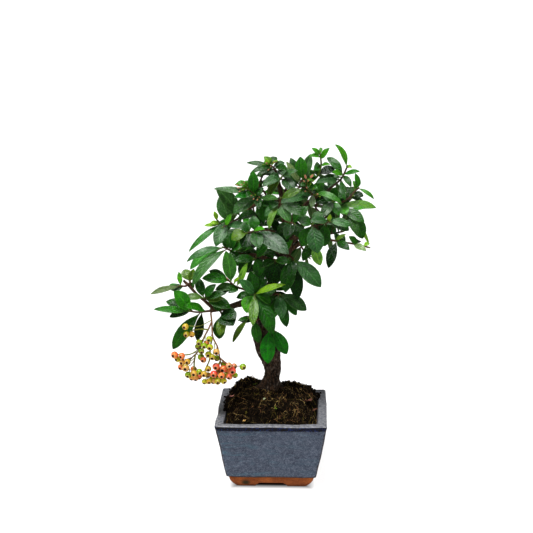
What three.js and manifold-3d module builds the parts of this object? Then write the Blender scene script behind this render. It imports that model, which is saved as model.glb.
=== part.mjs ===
// Narrowleaf firethorn bonsai in a square glazed pot on four feet.
// Millimetres, +Z up. The front of the pot faces -Y, and it stands on the plane z = 0.

import * as THREE from 'three';
import { mergeVertices } from 'three/addons/utils/BufferGeometryUtils.js';
import Module from 'manifold-3d';

const wasm = await Module();
wasm.setup();

// Pot. Widths are those of the square outside, unless they say otherwise.
const RIM_WIDTH = 115;
const POT_HEIGHT = 74.3;
const RIM_BAND = 4;
const RIM_FLARE = 0.6;
const RIM_ROUND = 1.2;
const CORNER_ROUND = 0.045;
const WALL = 9;
const GLAZE_BOTTOM = 13.9;
const GLAZE_BOTTOM_WIDTH = 94;
const GLAZE_STEP = 0.5;
const BAND_TOP_WIDTH = 90;
const BAND_BOTTOM_WIDTH = 87;
const CHAMFER_TOP = 8;
const FOOT_WIDTH = 75;
const FLOOR_TOP = 15;
const FLOOR_WIDTH = 74;
const ARCH_WIDTH = 33;
const ARCH_HEIGHT = 5.5;
const ARCH_FOOT = 1;
const ARCH_SLOPE = 4;
const DRAIN_RADIUS = 5;

// Soil, and the socket that the trunk stands in
const SEAT_GAP = 0.35;
const SOIL_SIDES = 24;
const SOIL_RINGS = 6;
const SOIL_EDGE = 72;
const SOIL_SHOULDER = 4;
const SOIL_RISE = 18.5;
const SOIL_SIDE_DROP = 0.6;
const SOIL_BACK_START = 0.55;
const SOIL_BACK_DROP = 18;
const SOIL_ROUGHNESS = 1.6;
const CLODS = [
  { x: -30, y: 30, height: 12, spread: 7.4 },
  { x: 32, y: 33, height: 4, spread: 10 },
];
const TRUNK_HOLE_RADIUS = 13.4;
const TRUNK_HOLE_FLOOR = 60;
const TRUNK_FOOT = [-2, 15];

// Woody parts
const TRUNK_SIDES = 10;
const BRANCH_SIDES = 5;
const BRANCH_STEP = 13;
const TWIG_RADII = [1.2, 0.85];
const TWIG_SIDES = 4;
const TWIG_STEP = 9;
const END_GAP = 0.45;

// Leaves
const LEAF_THICKNESS = 0.9;
const LEAF_FOLD = 0.22;
const PETIOLE_HALF_WIDTH = 0.45;
const LEAF_CLEARANCE = 1.5;
const SAME_TWIG_CLEARANCE = 0.8;
const ARCHED_BOW = 4;
const NARROW_HALF_WIDTH = 3;

// Berries
const STALK_RADIUS = 0.45;
const BERRY_SIDES = 6;
const BERRY_SWINGS = [0, 3, -3, 6, -6, 9, -9, 12];

// The middle of the whole bonsai, seen from above, lies this far from the pot's middle.
const MIDDLE = [-6.9, 8.4];

const SLIVER = 0.05;
const UP = new THREE.Vector3(0, 0, 1);

// The tree is drawn in front elevation. (x, z) is where a point shows on the upright plane
// through the pot's middle, to an eye in front of it, and y is its depth behind that plane. Its
// heights count from a little above the table.
const ELEVATION_ZERO = 2.6;
const EYE = new THREE.Vector3(29.5, -1117.5, 495.8);

function front([x, z, y]) {
  const k = (y - EYE.y) / -EYE.y;
  const height = z + ELEVATION_ZERO;
  return new THREE.Vector3(EYE.x + (x - EYE.x) * k, y, EYE.z + (height - EYE.z) * k);
}

// Seeded draws between 0 and 1.
function seededDraws(seed) {
  let state = seed;
  return () => {
    state = (state * 1664525 + 1013904223) % 4294967296;
    return state / 4294967296;
  };
}

function mix(a, b, t) {
  return a + (b - a) * t;
}

// Solids

function toSolid(geometry) {
  const bare = geometry.index ? geometry : geometry.clone();
  bare.deleteAttribute('normal');
  bare.deleteAttribute('uv');
  const merged = mergeVertices(bare, 1e-5);
  return new wasm.Manifold(new wasm.Mesh({
    numProp: 3,
    vertProperties: new Float32Array(merged.attributes.position.array),
    triVerts: new Uint32Array(merged.index.array),
  }));
}

// One body from several that meet, without the slivers and sealed hollows that the join leaves.
function joined(solids) {
  const pieces = wasm.Manifold.union(solids).simplify(SLIVER).decompose();
  return pieces.reduce((largest, piece) => (piece.volume() > largest.volume() ? piece : largest));
}

function toGeometry(solid) {
  const mesh = solid.getMesh();
  const geometry = new THREE.BufferGeometry();
  geometry.setAttribute('position', new THREE.BufferAttribute(mesh.vertProperties, 3));
  geometry.setIndex(new THREE.BufferAttribute(mesh.triVerts, 1));
  geometry.computeVertexNormals();
  return geometry;
}

// A closed body through rings of points that turn the same way. A ring of one point is an apex,
// and other end rings are closed flat. The split of the sides alternates, so that the two faces
// of a blade are split alike.
function loft(rings) {
  const positions = [];
  const index = [];
  const starts = [];
  for (const ring of rings) {
    starts.push(positions.length / 3);
    for (const p of ring) positions.push(p.x, p.y, p.z);
  }
  const sides = Math.max(...rings.map((ring) => ring.length));
  for (let i = 0; i + 1 < rings.length; i += 1) {
    for (let j = 0; j < sides; j += 1) {
      const next = (j + 1) % sides;
      const a = starts[i] + j;
      const b = starts[i] + next;
      const c = starts[i + 1] + next;
      const d = starts[i + 1] + j;
      if (rings[i].length === 1) index.push(starts[i], c, d);
      else if (rings[i + 1].length === 1) index.push(a, b, starts[i + 1]);
      else if (j % 2 === 0) index.push(a, b, c, a, c, d);
      else index.push(a, b, d, b, c, d);
    }
  }
  const last = rings.length - 1;
  for (let j = 1; j + 1 < sides; j += 1) {
    if (rings[0].length > 1) index.push(starts[0], starts[0] + j + 1, starts[0] + j);
    if (rings[last].length > 1) index.push(starts[last], starts[last] + j, starts[last] + j + 1);
  }
  const geometry = new THREE.BufferGeometry();
  geometry.setAttribute('position', new THREE.Float32BufferAttribute(positions, 3));
  geometry.setIndex(index);
  return geometry;
}

// A limb or stem through the points, in straight steps of about the given length: its middle line
// and its radius along it.
function makeLimb(points, radii, stepLength) {
  const curve = new THREE.CatmullRomCurve3(points, false, 'catmullrom', 0.5);
  const length = curve.getLength();
  const steps = Math.max(2, Math.round(length / stepLength));
  const middles = curve.getPoints(steps);
  const stepAt = (t) => Math.min(Math.floor(t * steps), steps - 1);
  return {
    length,
    middles,
    pointAt(t) {
      const i = stepAt(t);
      return middles[i].clone().lerp(middles[i + 1], t * steps - i);
    },
    directionAt(t) {
      const i = stepAt(t);
      return middles[i + 1].clone().sub(middles[i]).normalize();
    },
    radiusAt(t) {
      const place = t * (radii.length - 1);
      const i = Math.min(Math.floor(place), radii.length - 2);
      return mix(radii[i], radii[i + 1], place - i);
    },
  };
}

function limbGeometry(limb, sides) {
  const last = limb.middles.length - 1;
  let across = new THREE.Vector3(1, 0, 0);
  return loft(limb.middles.map((middle, i) => {
    const along = limb.middles[Math.min(i + 1, last)].clone();
    along.sub(limb.middles[Math.max(i - 1, 0)]).normalize();
    across = across.clone().addScaledVector(along, -across.dot(along)).normalize();
    const third = new THREE.Vector3().crossVectors(along, across);
    const radius = limb.radiusAt(i / last);
    const ring = [];
    for (let j = 0; j < sides; j += 1) {
      const angle = (j / sides) * 2 * Math.PI;
      ring.push(middle.clone()
        .addScaledVector(across, radius * Math.cos(angle))
        .addScaledVector(third, radius * Math.sin(angle)));
    }
    return ring;
  }));
}

// Pot

function roundedSquare(width, z) {
  const half = width / 2;
  const round = half * CORNER_ROUND;
  const ring = [];
  for (let corner = 0; corner < 4; corner += 1) {
    for (let step = 0; step < 4; step += 1) {
      const angle = (corner + step / 3) * (Math.PI / 2);
      const centre = (corner + 0.5) * (Math.PI / 2);
      const reach = (half - round) * Math.SQRT2;
      ring.push(new THREE.Vector3(
        reach * Math.cos(centre) + round * Math.cos(angle),
        reach * Math.sin(centre) + round * Math.sin(angle),
        z,
      ));
    }
  }
  return ring;
}

// The gap between two feet, as a bar that runs right under the pot.
function archBar() {
  const half = ARCH_WIDTH / 2;
  const shape = new THREE.Shape();
  shape.moveTo(-half, -ARCH_FOOT);
  shape.lineTo(half, -ARCH_FOOT);
  shape.lineTo(half, ARCH_FOOT);
  shape.lineTo(half - ARCH_SLOPE, ARCH_HEIGHT);
  shape.lineTo(-half + ARCH_SLOPE, ARCH_HEIGHT);
  shape.lineTo(-half, ARCH_FOOT);
  shape.closePath();
  const bar = new THREE.ExtrudeGeometry(shape, { depth: RIM_WIDTH, bevelEnabled: false });
  bar.translate(0, 0, -RIM_WIDTH / 2);
  bar.rotateX(Math.PI / 2);
  return bar;
}

function makePot() {
  const mouth = RIM_WIDTH - 2 * WALL;
  const shell = toSolid(loft([
    roundedSquare(FOOT_WIDTH, 0),
    roundedSquare(BAND_BOTTOM_WIDTH, CHAMFER_TOP),
    roundedSquare(BAND_TOP_WIDTH, GLAZE_BOTTOM),
    roundedSquare(GLAZE_BOTTOM_WIDTH, GLAZE_BOTTOM + GLAZE_STEP),
    roundedSquare(RIM_WIDTH - 2 * RIM_FLARE, POT_HEIGHT - RIM_BAND),
    roundedSquare(RIM_WIDTH, POT_HEIGHT - RIM_ROUND),
    roundedSquare(RIM_WIDTH - RIM_ROUND, POT_HEIGHT),
    roundedSquare(mouth + RIM_ROUND, POT_HEIGHT),
    roundedSquare(mouth, POT_HEIGHT - RIM_ROUND),
    roundedSquare(FLOOR_WIDTH, FLOOR_TOP),
  ]));
  const along = toSolid(archBar());
  const across = toSolid(archBar().rotateZ(Math.PI / 2));
  const drain = new THREE.CylinderGeometry(DRAIN_RADIUS, DRAIN_RADIUS, 3 * FLOOR_TOP, 16);
  drain.rotateX(Math.PI / 2);
  return shell.subtract(along).subtract(across).subtract(toSolid(drain));
}

// Soil

// Height of the heaped root ball: low along the front edge, high round the trunk and behind it.
function soilHeight(x, y) {
  const half = RIM_WIDTH / 2 - WALL;
  const rise = Math.sin(Math.min((y + half) / half, 1) * Math.PI / 2);
  const side = 1 - SOIL_SIDE_DROP * (x / half) ** 4;
  const behind = Math.max(y / half - SOIL_BACK_START, 0) * SOIL_BACK_DROP;
  const clods = CLODS.map((clod) => (
    clod.height * Math.exp(-((x - clod.x) ** 2 + (y - clod.y) ** 2) / (2 * clod.spread ** 2))
  ));
  return SOIL_EDGE + SOIL_RISE * rise * side - behind + clods[0] + clods[1];
}

// The lump fills the pot and heaps up to the socket. The rings of its top shrink from the pot's
// square to the socket's circle.
function makeSoil() {
  const draw = seededDraws(11);
  const floorZ = FLOOR_TOP + SEAT_GAP;
  const slope = (RIM_WIDTH / 2 - WALL - FLOOR_WIDTH / 2) / (POT_HEIGHT - FLOOR_TOP);
  const floorHalf = FLOOR_WIDTH / 2 - 2 * SEAT_GAP;
  const topHalf = floorHalf + slope * (SOIL_EDGE - SOIL_SHOULDER - FLOOR_TOP);
  const ringOf = (place) => Array.from({ length: SOIL_SIDES }, (_, j) => {
    const angle = (j / SOIL_SIDES) * 2 * Math.PI;
    return place(Math.cos(angle), Math.sin(angle));
  });
  const square = (cos, sin, half) => {
    const reach = Math.min(half / Math.max(Math.abs(cos), Math.abs(sin)), 1.36 * half);
    return [reach * cos, reach * sin];
  };
  const squareRing = (half, z) => ringOf((cos, sin) => (
    new THREE.Vector3(...square(cos, sin, half), z)
  ));
  const rings = [squareRing(floorHalf, floorZ), squareRing(topHalf, SOIL_EDGE - SOIL_SHOULDER)];
  for (let i = 0; i <= SOIL_RINGS; i += 1) {
    rings.push(ringOf((cos, sin) => {
      const [outX, outY] = square(cos, sin, topHalf);
      const x = mix(outX, TRUNK_FOOT[0] + TRUNK_HOLE_RADIUS * cos, i / SOIL_RINGS);
      const y = mix(outY, TRUNK_FOOT[1] + TRUNK_HOLE_RADIUS * sin, i / SOIL_RINGS);
      const rough = SOIL_ROUGHNESS * (2 * draw() - 1);
      const height = soilHeight(x, y) + rough;
      const edge = Math.min(height - SOIL_SHOULDER, POT_HEIGHT - 1);
      return new THREE.Vector3(x, y, i === 0 ? edge : height);
    }));
  }
  rings.push(ringOf((cos, sin) => new THREE.Vector3(
    TRUNK_FOOT[0] + TRUNK_HOLE_RADIUS * cos,
    TRUNK_FOOT[1] + TRUNK_HOLE_RADIUS * sin,
    TRUNK_HOLE_FLOOR,
  )));
  return toSolid(loft(rings));
}

// Trunk and main branches, from the pot up. Each point is [x, z, y] in front elevation.

const TRUNK_LINE = [
  [-1.6, 64, 15], [-1.6, 90, 15], [-1, 98.5, 14], [-0.6, 108, 12], [-1, 118, 10],
  [-5, 129, 8], [-9, 139, 6], [-12.4, 150, 4], [-12.5, 165, 3], [-8, 181, 3], [-4, 195, 3],
  [1.5, 213, 3], [9, 232, 3], [16, 247, 3], [16, 263, 3], [13.5, 279, 4], [10, 297, 5],
  [6, 314, 4], [3, 326, 2],
];
const TRUNK_RADII = [
  12.9, 12.6, 9.2, 7.9, 8, 9, 9.3, 8.8, 7.6, 6.6, 6, 5.6, 5.2, 4.7, 4.2, 3.6, 2.9, 2.2, 1.3,
];

const BRANCHES = {
  stump: { path: [[-3, 120, 9], [1, 129, 7], [3.5, 137.5, 5]], radii: [6, 5.6, 4.6] },
  cascade: {
    path: [[-8, 181, 3], [-20, 190, 0], [-34, 186, -6], [-45, 182.5, -12], [-56, 180, -17],
      [-66, 178, -20]],
    radii: [4.4, 2.1],
  },
  shoot: {
    path: [[-60, 178.5, -18.5], [-69, 187, -20], [-79, 195.5, -20], [-86, 203.5, -20],
      [-93.5, 211, -20]],
    radii: [2, 1.5],
  },
  left_low: {
    path: [[-4, 197, 3], [-12, 200, -8], [-20, 199, -13], [-34, 203, -16]],
    radii: [2.6, 1.3],
  },
  left_middle: {
    path: [[8, 231, 3], [-2, 233, -2], [-16, 238, -7], [-30, 239, -11], [-40, 241, -13]],
    radii: [3, 1.4],
  },
  left_high: { path: [[10, 296, 5], [-6, 296, 5], [-22, 289, 2], [-32, 280, -2]], radii: [2.4, 1.3] },
  right_low: { path: [[14, 242, 3], [30, 252, 0], [45, 257, -2], [60, 255, -2]], radii: [2.8, 1.3] },
  right: {
    path: [[16, 257, 3], [32, 271, 4], [48, 282, 7], [62, 290, 11], [73, 296, 14]],
    radii: [3, 1.5],
  },
  right_high: { path: [[14.5, 273, 4], [28, 287, 2], [42, 299, 0], [52, 304, 4]], radii: [2.8, 1.4] },
  crown_right: { path: [[12, 287, 5], [24, 302, 7], [37, 314, 8]], radii: [2.3, 1.3] },
  crown_left: { path: [[12, 286, 4], [0, 295, -8], [-12, 299, -14]], radii: [2.3, 1.3] },
  front_left: {
    path: [[15.5, 256, 2], [4, 262, -14], [-8, 265, -25], [-17, 264, -31]],
    radii: [2.4, 1.3],
  },
  front_middle: {
    path: [[15, 266, 2], [12, 272, -12], [9, 281, -24], [7, 288, -31]],
    radii: [2.2, 1.2],
  },
  front_right: {
    path: [[16, 252, 3], [27, 260, -12], [38, 267, -24], [50, 272, -31]],
    radii: [2.4, 1.2],
  },
  back_middle: { path: [[15, 266, 4], [20, 276, 18], [26, 287, 32]], radii: [2.6, 1.4] },
  back_left: { path: [[9, 234, 4], [-2, 248, 16], [-10, 262, 29], [-14, 274, 38]], radii: [2.7, 1.3] },
  back_right: { path: [[16, 250, 4], [30, 260, 16], [44, 270, 29], [56, 280, 38]], radii: [2.7, 1.3] },
  back_top: { path: [[11, 294, 4], [13, 306, 14], [16, 315, 25]], radii: [2, 1.2] },
};

function makeBranches() {
  const limbs = {};
  for (const [name, { path, radii }] of Object.entries(BRANCHES)) {
    limbs[name] = makeLimb(path.map(front), radii, BRANCH_STEP);
  }
  limbs.trunk = makeLimb(TRUNK_LINE.map(front), TRUNK_RADII, BRANCH_STEP);
  return limbs;
}

function makeWood(limbs) {
  return joined(Object.entries(limbs).map(([name, limb]) => (
    toSolid(limbGeometry(limb, name === 'trunk' ? TRUNK_SIDES : BRANCH_SIDES))
  )));
}

// Leafy sprays. Each stem starts on the bark of its branch, next to the path's first point, and
// follows the path. A leaf is [place along the stem, tip x, tip z, tip y, width, bow, roll]: bow is
// how far its middle arches up, and roll turns its face about its own length, in degrees.
// "ruled" is how many leaves a rule places round a stem that has none drawn.

const SPRAYS = [
  {
    name: 'top_right', branch: 'right_high',
    path: [[61, 311, 8], [69, 318, 10], [72, 323, 10], [75.5, 331, 9]],
    leaves: [
      [0.97, 64, 354, 4, 10, 3, 35], [1, 80, 331, 6, 4, 1, 0], [0.72, 60.5, 325.5, 2, 7, 1, 0],
      [0.75, 88, 327, 4, 5, 2, 10], [0.7, 80, 311, -2, 6.5, 3, 0], [0.55, 74, 297, -8, 6.5, 2, 30],
      [0.5, 44, 315, -6, 6, 2, 0], [0.62, 50, 320, 9, 7, 1.5, 0], [0.72, 55, 341, 20, 9, 3, 0],
    ],
  },
  {
    name: 'top_upright', branch: 'crown_right', path: [[45, 321, 6], [49, 332, 3], [48, 344, 0]],
    leaves: [
      [0.97, 40, 350, -4, 5.5, 1, 0], [0.85, 56.5, 350, -6, 6.5, 1.5, 0],
      [0.9, 37, 342, -6, 5, 2.5, 0], [0.68, 57.5, 334, -6, 4.5, 1, 0],
      [0.6, 42, 328, -4, 6.5, 1, 0], [0.4, 63, 330, 16, 10, 2, 0], [0.3, 38, 322, -6, 11, 2, 0],
    ],
  },
  {
    name: 'top_olive', branch: 'crown_right', path: [[26, 308, -1], [30, 318, -5]],
    leaves: [
      [1, 28, 341, -9, 15, 2, 0], [0.9, 38.5, 344, 8, 10, 2, 20], [0.85, 18, 340, -6, 10, 2, 0],
      [0.75, 14, 336, -2, 7, 3, -25], [0.7, 5, 331, 6, 12, 2, 0], [0.8, 43, 309, -10, 9, 2, 0],
    ],
  },
  {
    name: 'bud_twig', branch: 'right_high',
    path: [[39, 304, -7], [34.5, 310, -12], [34.5, 317, -14]],
    leaves: [
      [0.12, 71, 293, -16, 7, 8, 0], [0.2, 40, 289, -16, 6.5, 1, 0],
      [0.12, 8, 293.5, -28, 12, 2, 0], [0.8, 27.5, 312, -18, 4.5, 1, 0],
    ],
  },
  {
    name: 'right_edge', branch: 'right', path: [[79, 300, 16.5], [82, 304, 22], [87, 309, 26]],
    leaves: [
      [1, 84, 324.5, 22, 6, 3, 0], [1, 103.5, 298.5, 22, 4.5, 4, 0],
      [0.6, 92.5, 301.5, 18, 7.5, 1, 0], [0.9, 82, 317, 18, 4.5, 1, 0], [0.4, 78, 311, 36, 8, 2, 0],
      [0.5, 69, 289, 26, 11, 2, 0], [0.3, 66, 300, 30, 10, 2, 0],
    ],
  },
  {
    name: 'right_tip', branch: 'right', path: [[68, 289, 7], [75, 287, 5], [82, 284, 3]],
    leaves: [
      [0.2, 106, 289.5, 20, 10, 3, 0], [0.25, 76, 282.5, -6, 13.5, 2, 0],
      [0.7, 87, 261, -6, 10.5, 2, 0], [0.5, 94, 274, 2, 12, 2, 0], [0.95, 93, 256.5, 6, 14, 2, 10],
      [1, 99.5, 251.5, 12, 4.5, 1, 0], [0.8, 95.5, 289, 10, 4, 1, 0],
    ],
  },
  {
    name: 'right_middle', branch: 'right', path: [[61, 294, 1], [62, 296, -7]],
    leaves: [
      [1, 49, 278.5, -20, 10, 2, 0], [0.8, 68, 281, -14, 10, 2, 0], [0.7, 52, 301, -18, 9, 2, 0],
      [0.5, 73, 305, -4, 8, 2, 0], [0.4, 65, 310, -10, 11, 2, 0],
    ],
  },
  {
    name: 'right_front', branch: 'front_right', path: [[55, 273.5, -34], [58, 274.5, -36]],
    leaves: [
      [0.9, 39, 275.5, -44, 9, 2, 0], [1, 80, 270.5, -38, 9.5, 2, 0], [0.7, 79, 266, -28, 13, 2, 0],
      [0.5, 53, 248, -28, 13, 2, 0],
    ],
  },
  {
    name: 'right_round', branch: 'front_right', path: [[40.5, 270.5, -33], [41, 271, -38]],
    leaves: [
      [1, 46.5, 241, -46, 17, 2, 0], [0.7, 30, 248, -30, 13, 2, 0], [0.9, 26, 276, -38, 12, 2, 0],
      [0.6, 50, 285, -36, 10, 2, 0],
    ],
  },
  {
    name: 'right_low_leaves', branch: 'right_low', path: [[44, 252, -8], [42, 249.5, -12]],
    leaves: [
      [1, 49.5, 228, -18, 11, 2, 0], [0.7, 31, 233, -14, 10, 2, 0],
    ],
  },
  {
    name: 'right_low_twig', branch: 'right_low',
    path: [[75, 252.5, -2], [87, 250.5, 0], [99, 247.5, 2]],
    leaves: [
      [0.12, 58, 225.5, -12, 10.5, 2, 0], [0.12, 79, 245.5, -16, 9.5, 1.5, 0],
      [0.35, 68, 259.5, -6, 7.5, 1, 0], [0.7, 79, 259, -4, 7, 1, 0],
      [0.55, 96.5, 244.5, -10, 7, 1, 0], [0.85, 100, 252.5, 4, 4.5, 0.5, 0],
    ],
  },
  {
    name: 'right_long_leaves', branch: 'trunk', path: [[20, 236, -8], [22, 234, -12]],
    leaves: [
      [1, 50.5, 205, -22, 17.5, 3, 0], [0.8, 26, 190.5, -14, 14, 2, 0],
      [0.6, 13, 199, -18, 15, 2, 0], [0.7, 18, 212, -22, 10, 2, 0],
    ],
  },
  {
    name: 'front_left_leaves', branch: 'front_left', path: [[-20.5, 263.6, -33.4], [-26, 262, -36]],
    leaves: [
      [0.2, 16.5, 240.5, -48, 17.5, 2, 0], [0.5, -9, 266.5, -46, 5.5, 1, 0],
      [0.4, -31, 245, -42, 13.5, 2, 0], [1, -43, 255, -38, 12, 3, 0], [0.9, -34, 272, -34, 9, 2, 0],
      [0.3, -14, 246, -30, 13, 2, 0],
    ],
  },
  {
    name: 'front_middle_leaves', branch: 'front_middle', path: [[7, 292, -35], [8, 298, -39]],
    leaves: [
      [0.4, -4, 266.5, -44, 7.5, 3, 20], [0.3, -9, 280, -40, 9, 1.5, 0],
      [0.5, 18, 274, -44, 11, 2, 0], [1, 29, 307.5, -44, 9, 2, 0], [0.6, 32, 281, -40, 12, 2, 0],
      [0.7, -4, 288, -36, 9, 2, 0], [0.2, -13, 294, -34, 11, 2, 0],
    ],
  },
  {
    name: 'front_heart', branch: 'front_middle', path: [[16, 274, -18], [22, 272, -22]],
    leaves: [
      [1, 30, 258, -32, 13, 2, 0], [0.7, 14, 256, -34, 12, 2, 0], [0.8, 36, 290, -24, 12, 2, 0],
      [0.6, 5, 262, -30, 10, 2, 0],
    ],
  },
  {
    name: 'crown_left_leaves', branch: 'crown_left',
    path: [[-17, 300, -17], [-21, 303, -18], [-25, 311, -18]],
    leaves: [
      [0.1, 5, 298, -28, 8, 1, 0], [0.55, -20, 326, -22, 12.5, 1.5, 0],
      [0.95, -38.5, 312.5, -22, 7.5, 4, 0], [0.6, -39, 299.5, -30, 7.5, 1, 0],
      [0.7, -60, 308.5, -26, 8, 1, 10], [0.15, -41, 283, -20, 14, 2, 0],
      [0.1, -9, 273, -26, 12, 2, 0], [0.4, -10, 309, -24, 9, 2, 0], [0.2, -14, 288, -30, 8, 2, 0],
    ],
  },
  {
    name: 'top_left', branch: 'trunk', path: [[1, 330, 1], [-4, 333, -2]],
    leaves: [
      [0.9, -8.5, 341, -4, 8, 1.5, 0], [0.95, 4, 341, -2, 8, 1, 0], [1, -9, 336.5, -8, 4.5, 1, 0],
      [0.7, -26.5, 335, -6, 5.5, 1.5, 0], [0.5, -23.5, 323.5, -12, 6, 5, 0],
      [0.6, 12, 335.5, 4, 7, 1, 0],
    ],
  },
  {
    name: 'top_middle', branch: 'trunk', path: [[8, 318, -6], [9.5, 321, -13]],
    leaves: [
      [1, -5.5, 299.5, -28, 8.5, 2, 10], [0.8, -10, 311.5, -20, 10, 2, 0],
      [0.95, 25, 327.5, -12, 6.5, 1.5, 0], [0.6, 22, 306, -20, 12, 2, 0],
      [0.5, -4, 322, -6, 8, 2, 0],
    ],
  },
  {
    name: 'left_big', branch: 'left_high', path: [[-37, 276, -5], [-44, 272, -8], [-51, 268, -10]],
    leaves: [
      [0.05, -57.5, 309, -20, 16.5, 2, 0], [0.7, -54, 301, -8, 15.5, 2, 0],
      [0.6, -38, 291, -14, 7.5, 1, 0], [0.9, -43, 281.5, -16, 6, 1, 0],
      [0.85, -26, 269.5, -20, 8.5, 2, 0], [0.3, -16, 282, -14, 10, 2, 0],
    ],
  },
  {
    name: 'left_tip', branch: 'left_high',
    path: [[-27, 290, 5], [-38, 283, 6], [-51, 271, 3], [-57, 275, -2]],
    leaves: [
      [1, -60, 284, -4, 4.5, 0.5, 0], [0.85, -70.5, 269.5, -4, 4.5, 0.5, 0],
      [0.9, -64.5, 272, 0, 4.5, 0.5, 0], [0.75, -87.5, 242, -10, 7.5, 3, 10],
      [0.7, -59, 248, -10, 13.5, 2, 0],
    ],
  },
  {
    name: 'left_long_leaves', branch: 'left_middle', path: [[-46, 244.5, -14], [-51, 246.5, -16]],
    leaves: [
      [0.9, -89.5, 231.5, -24, 9, 6, 10], [0.6, -84.5, 205, -28, 11, 10, 0],
      [1, -86.5, 223, -8, 11, 5, 0], [0.4, -34, 227, -14, 13, 2, 0], [0.3, -30, 249, -22, 9, 2, 0],
    ],
  },
  {
    name: 'left_dark_leaves', branch: 'left_middle', path: [[-17, 236, -13], [-19, 235, -17]],
    leaves: [
      [1, -36, 219, -18, 13, 2, 0], [0.8, -13, 217, -16, 12, 2, 0], [0.6, -4, 250, -24, 12, 2, 0],
      [0.9, -40, 233, -20, 10, 2, 0],
    ],
  },
  {
    name: 'round_leaf_twig', branch: 'left_middle', path: [[2, 234, -7], [3, 233, -11]],
    leaves: [
      [1, -1, 207, -18, 18.5, 2, 0], [0.6, 18, 231, -16, 9, 2, 0], [0.8, -12, 226, -20, 8, 2, 0],
      [0.9, -20, 206, -12, 15, 2, 0],
    ],
  },
  {
    name: 'left_low_twig', branch: 'left_low', path: [[-40, 205.5, -18], [-47, 212.5, -21]],
    leaves: [
      [0.75, -48.5, 242, -32, 16, 2, 0], [0.85, -73.5, 213.5, -28, 12, 2, 0],
      [0.2, -60, 201.5, -24, 9, 2, 0], [0.3, -27, 229.5, -28, 7, 1, 0],
      [0.6, -35, 214, -30, 4.5, 0.5, 0], [0.9, -66, 222, -18, 9, 2, 0],
      [0.5, -58, 197, -16, 9, 2, 0],
    ],
  },
  {
    name: 'low_middle_leaves', branch: 'left_low', path: [[-19, 196.5, -18], [-18.5, 196, -23]],
    leaves: [
      [0.8, -35, 212, -28, 11, 3, 0], [1, 13, 207.5, -30, 7, 6, 0],
      [0.9, -28, 176.5, -28, 16.5, 2, 0], [1, -21, 162.5, -38, 10, 2, 0],
      [0.4, -6, 213, -22, 13, 2, 0], [0.6, -23, 221, -20, 13, 2, 0],
      [0.7, 0.5, 153, -30, 15.5, 3, 0], [0.5, -38, 193, -20, 9, 2, 0],
    ],
  },
  {
    name: 'trunk_left_twig', branch: 'trunk', path: [[-18, 168, -10], [-25, 171, -13]],
    leaves: [
      [1, -42.5, 143.5, -14, 6, 3, 0], [0.6, -14.5, 143.5, -16, 10.5, 1.5, 0],
    ],
  },
  {
    name: 'low_right_leaves', branch: 'trunk', path: [[3, 197, -8], [7, 197, -12]],
    leaves: [
      [0.8, 10, 170, -24, 12.5, 2, 0], [0.4, 2.5, 171.5, -18, 10, 2, 0],
      [1, 36, 180, -18, 14.5, 2, 0], [0.9, 15, 161, -12, 11, 2, 0], [1, 25.5, 174, -8, 11, 1.5, 0],
      [0.6, -8, 181, -12, 8, 2, 0],
    ],
  },
  {
    name: 'trunk_front_leaves', branch: 'trunk', path: [[-5, 158, -9], [0, 159.5, -13]],
    leaves: [
      [0.7, -5, 120.5, -18, 15.5, 2, 0], [1, 15.5, 131, -14, 13.5, 2, 0],
    ],
  },
  {
    name: 'shoot_end', branch: 'shoot', path: [[-91, 204.5, -25], [-96, 205, -27]],
    leaves: [
      [1, -128, 196, -48, 6.5, 0.5, 0], [0.7, -106.5, 200.5, -34, 8, 1, 0],
      [1, -98, 220, -24, 5, 1, 0], [0.8, -110, 204.5, -30, 4.5, 1, 0],
    ],
  },
  {
    name: 'shoot_side', branch: 'shoot', path: [[-86, 209, -15], [-87, 210, -11]],
    leaves: [
      [1, -92, 223, -8, 10.5, 1.5, 0], [0.8, -82, 223, -12, 7, 1, 10],
      [0.7, -83.5, 202, -10, 5, 1, 0],
    ],
  },
  {
    name: 'shoot_foot', branch: 'shoot', path: [[-70, 191, -25], [-72, 192, -28]],
    leaves: [
      [1, -78.5, 214.5, -26, 9.5, 1.5, 0], [0.6, -49.5, 197.5, -28, 8.5, 2, 0],
      [0.9, -60, 207, -24, 9, 2, 0], [0.3, -44, 182, -28, 13, 2, 0],
    ],
  },
  {
    name: 'cascade_left', branch: 'cascade',
    path: [[-74, 177, -23], [-80, 176.5, -29], [-87, 177.5, -33]],
    leaves: [
      [1, -103, 199.5, -42, 15, 2, 0], [1, -124.5, 179.5, -48, 8, 2, 0],
      [0.95, -108.5, 171, -46, 9, 1.5, 0], [0.4, -106, 135.5, -42, 14.5, 12, 0],
      [0.8, -112, 188, -38, 12, 2, 0], [0.15, -92.5, 183, -36, 10, 2, 0],
      [0.35, -80, 145.5, -14, 10, 2, 0],
    ],
  },
  {
    name: 'cascade_foot', branch: 'cascade', path: [[-54, 176, -20], [-53, 173, -25]],
    leaves: [
      [1, -56, 151, -36, 10, 2, 0], [0.8, -57, 147, -22, 13, 1.5, 0],
      [0.7, -41.5, 163, -32, 21, 2, 0],
    ],
  },
  {
    name: 'back_middle_low', branch: 'back_middle', ruled: 4,
    path: [[32, 290, 38], [44, 292, 46], [54, 290, 51]],
  },
  {
    name: 'back_middle_high', branch: 'back_middle', ruled: 5,
    path: [[18, 290, 32], [12, 300, 40], [6, 306, 45]],
  },
  {
    name: 'back_left_end', branch: 'back_left', ruled: 5,
    path: [[-18, 280, 43], [-20, 290, 46], [-18, 302, 45]],
  },
  {
    name: 'back_left_side', branch: 'back_left', ruled: 5,
    path: [[-14, 256, 24], [-26, 262, 24], [-36, 272, 21]],
  },
  {
    name: 'back_left_low', branch: 'back_left', ruled: 5,
    path: [[2, 240, 21], [-4, 232, 27], [-14, 226, 29]],
  },
  {
    name: 'back_right_end', branch: 'back_right', ruled: 5,
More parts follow.
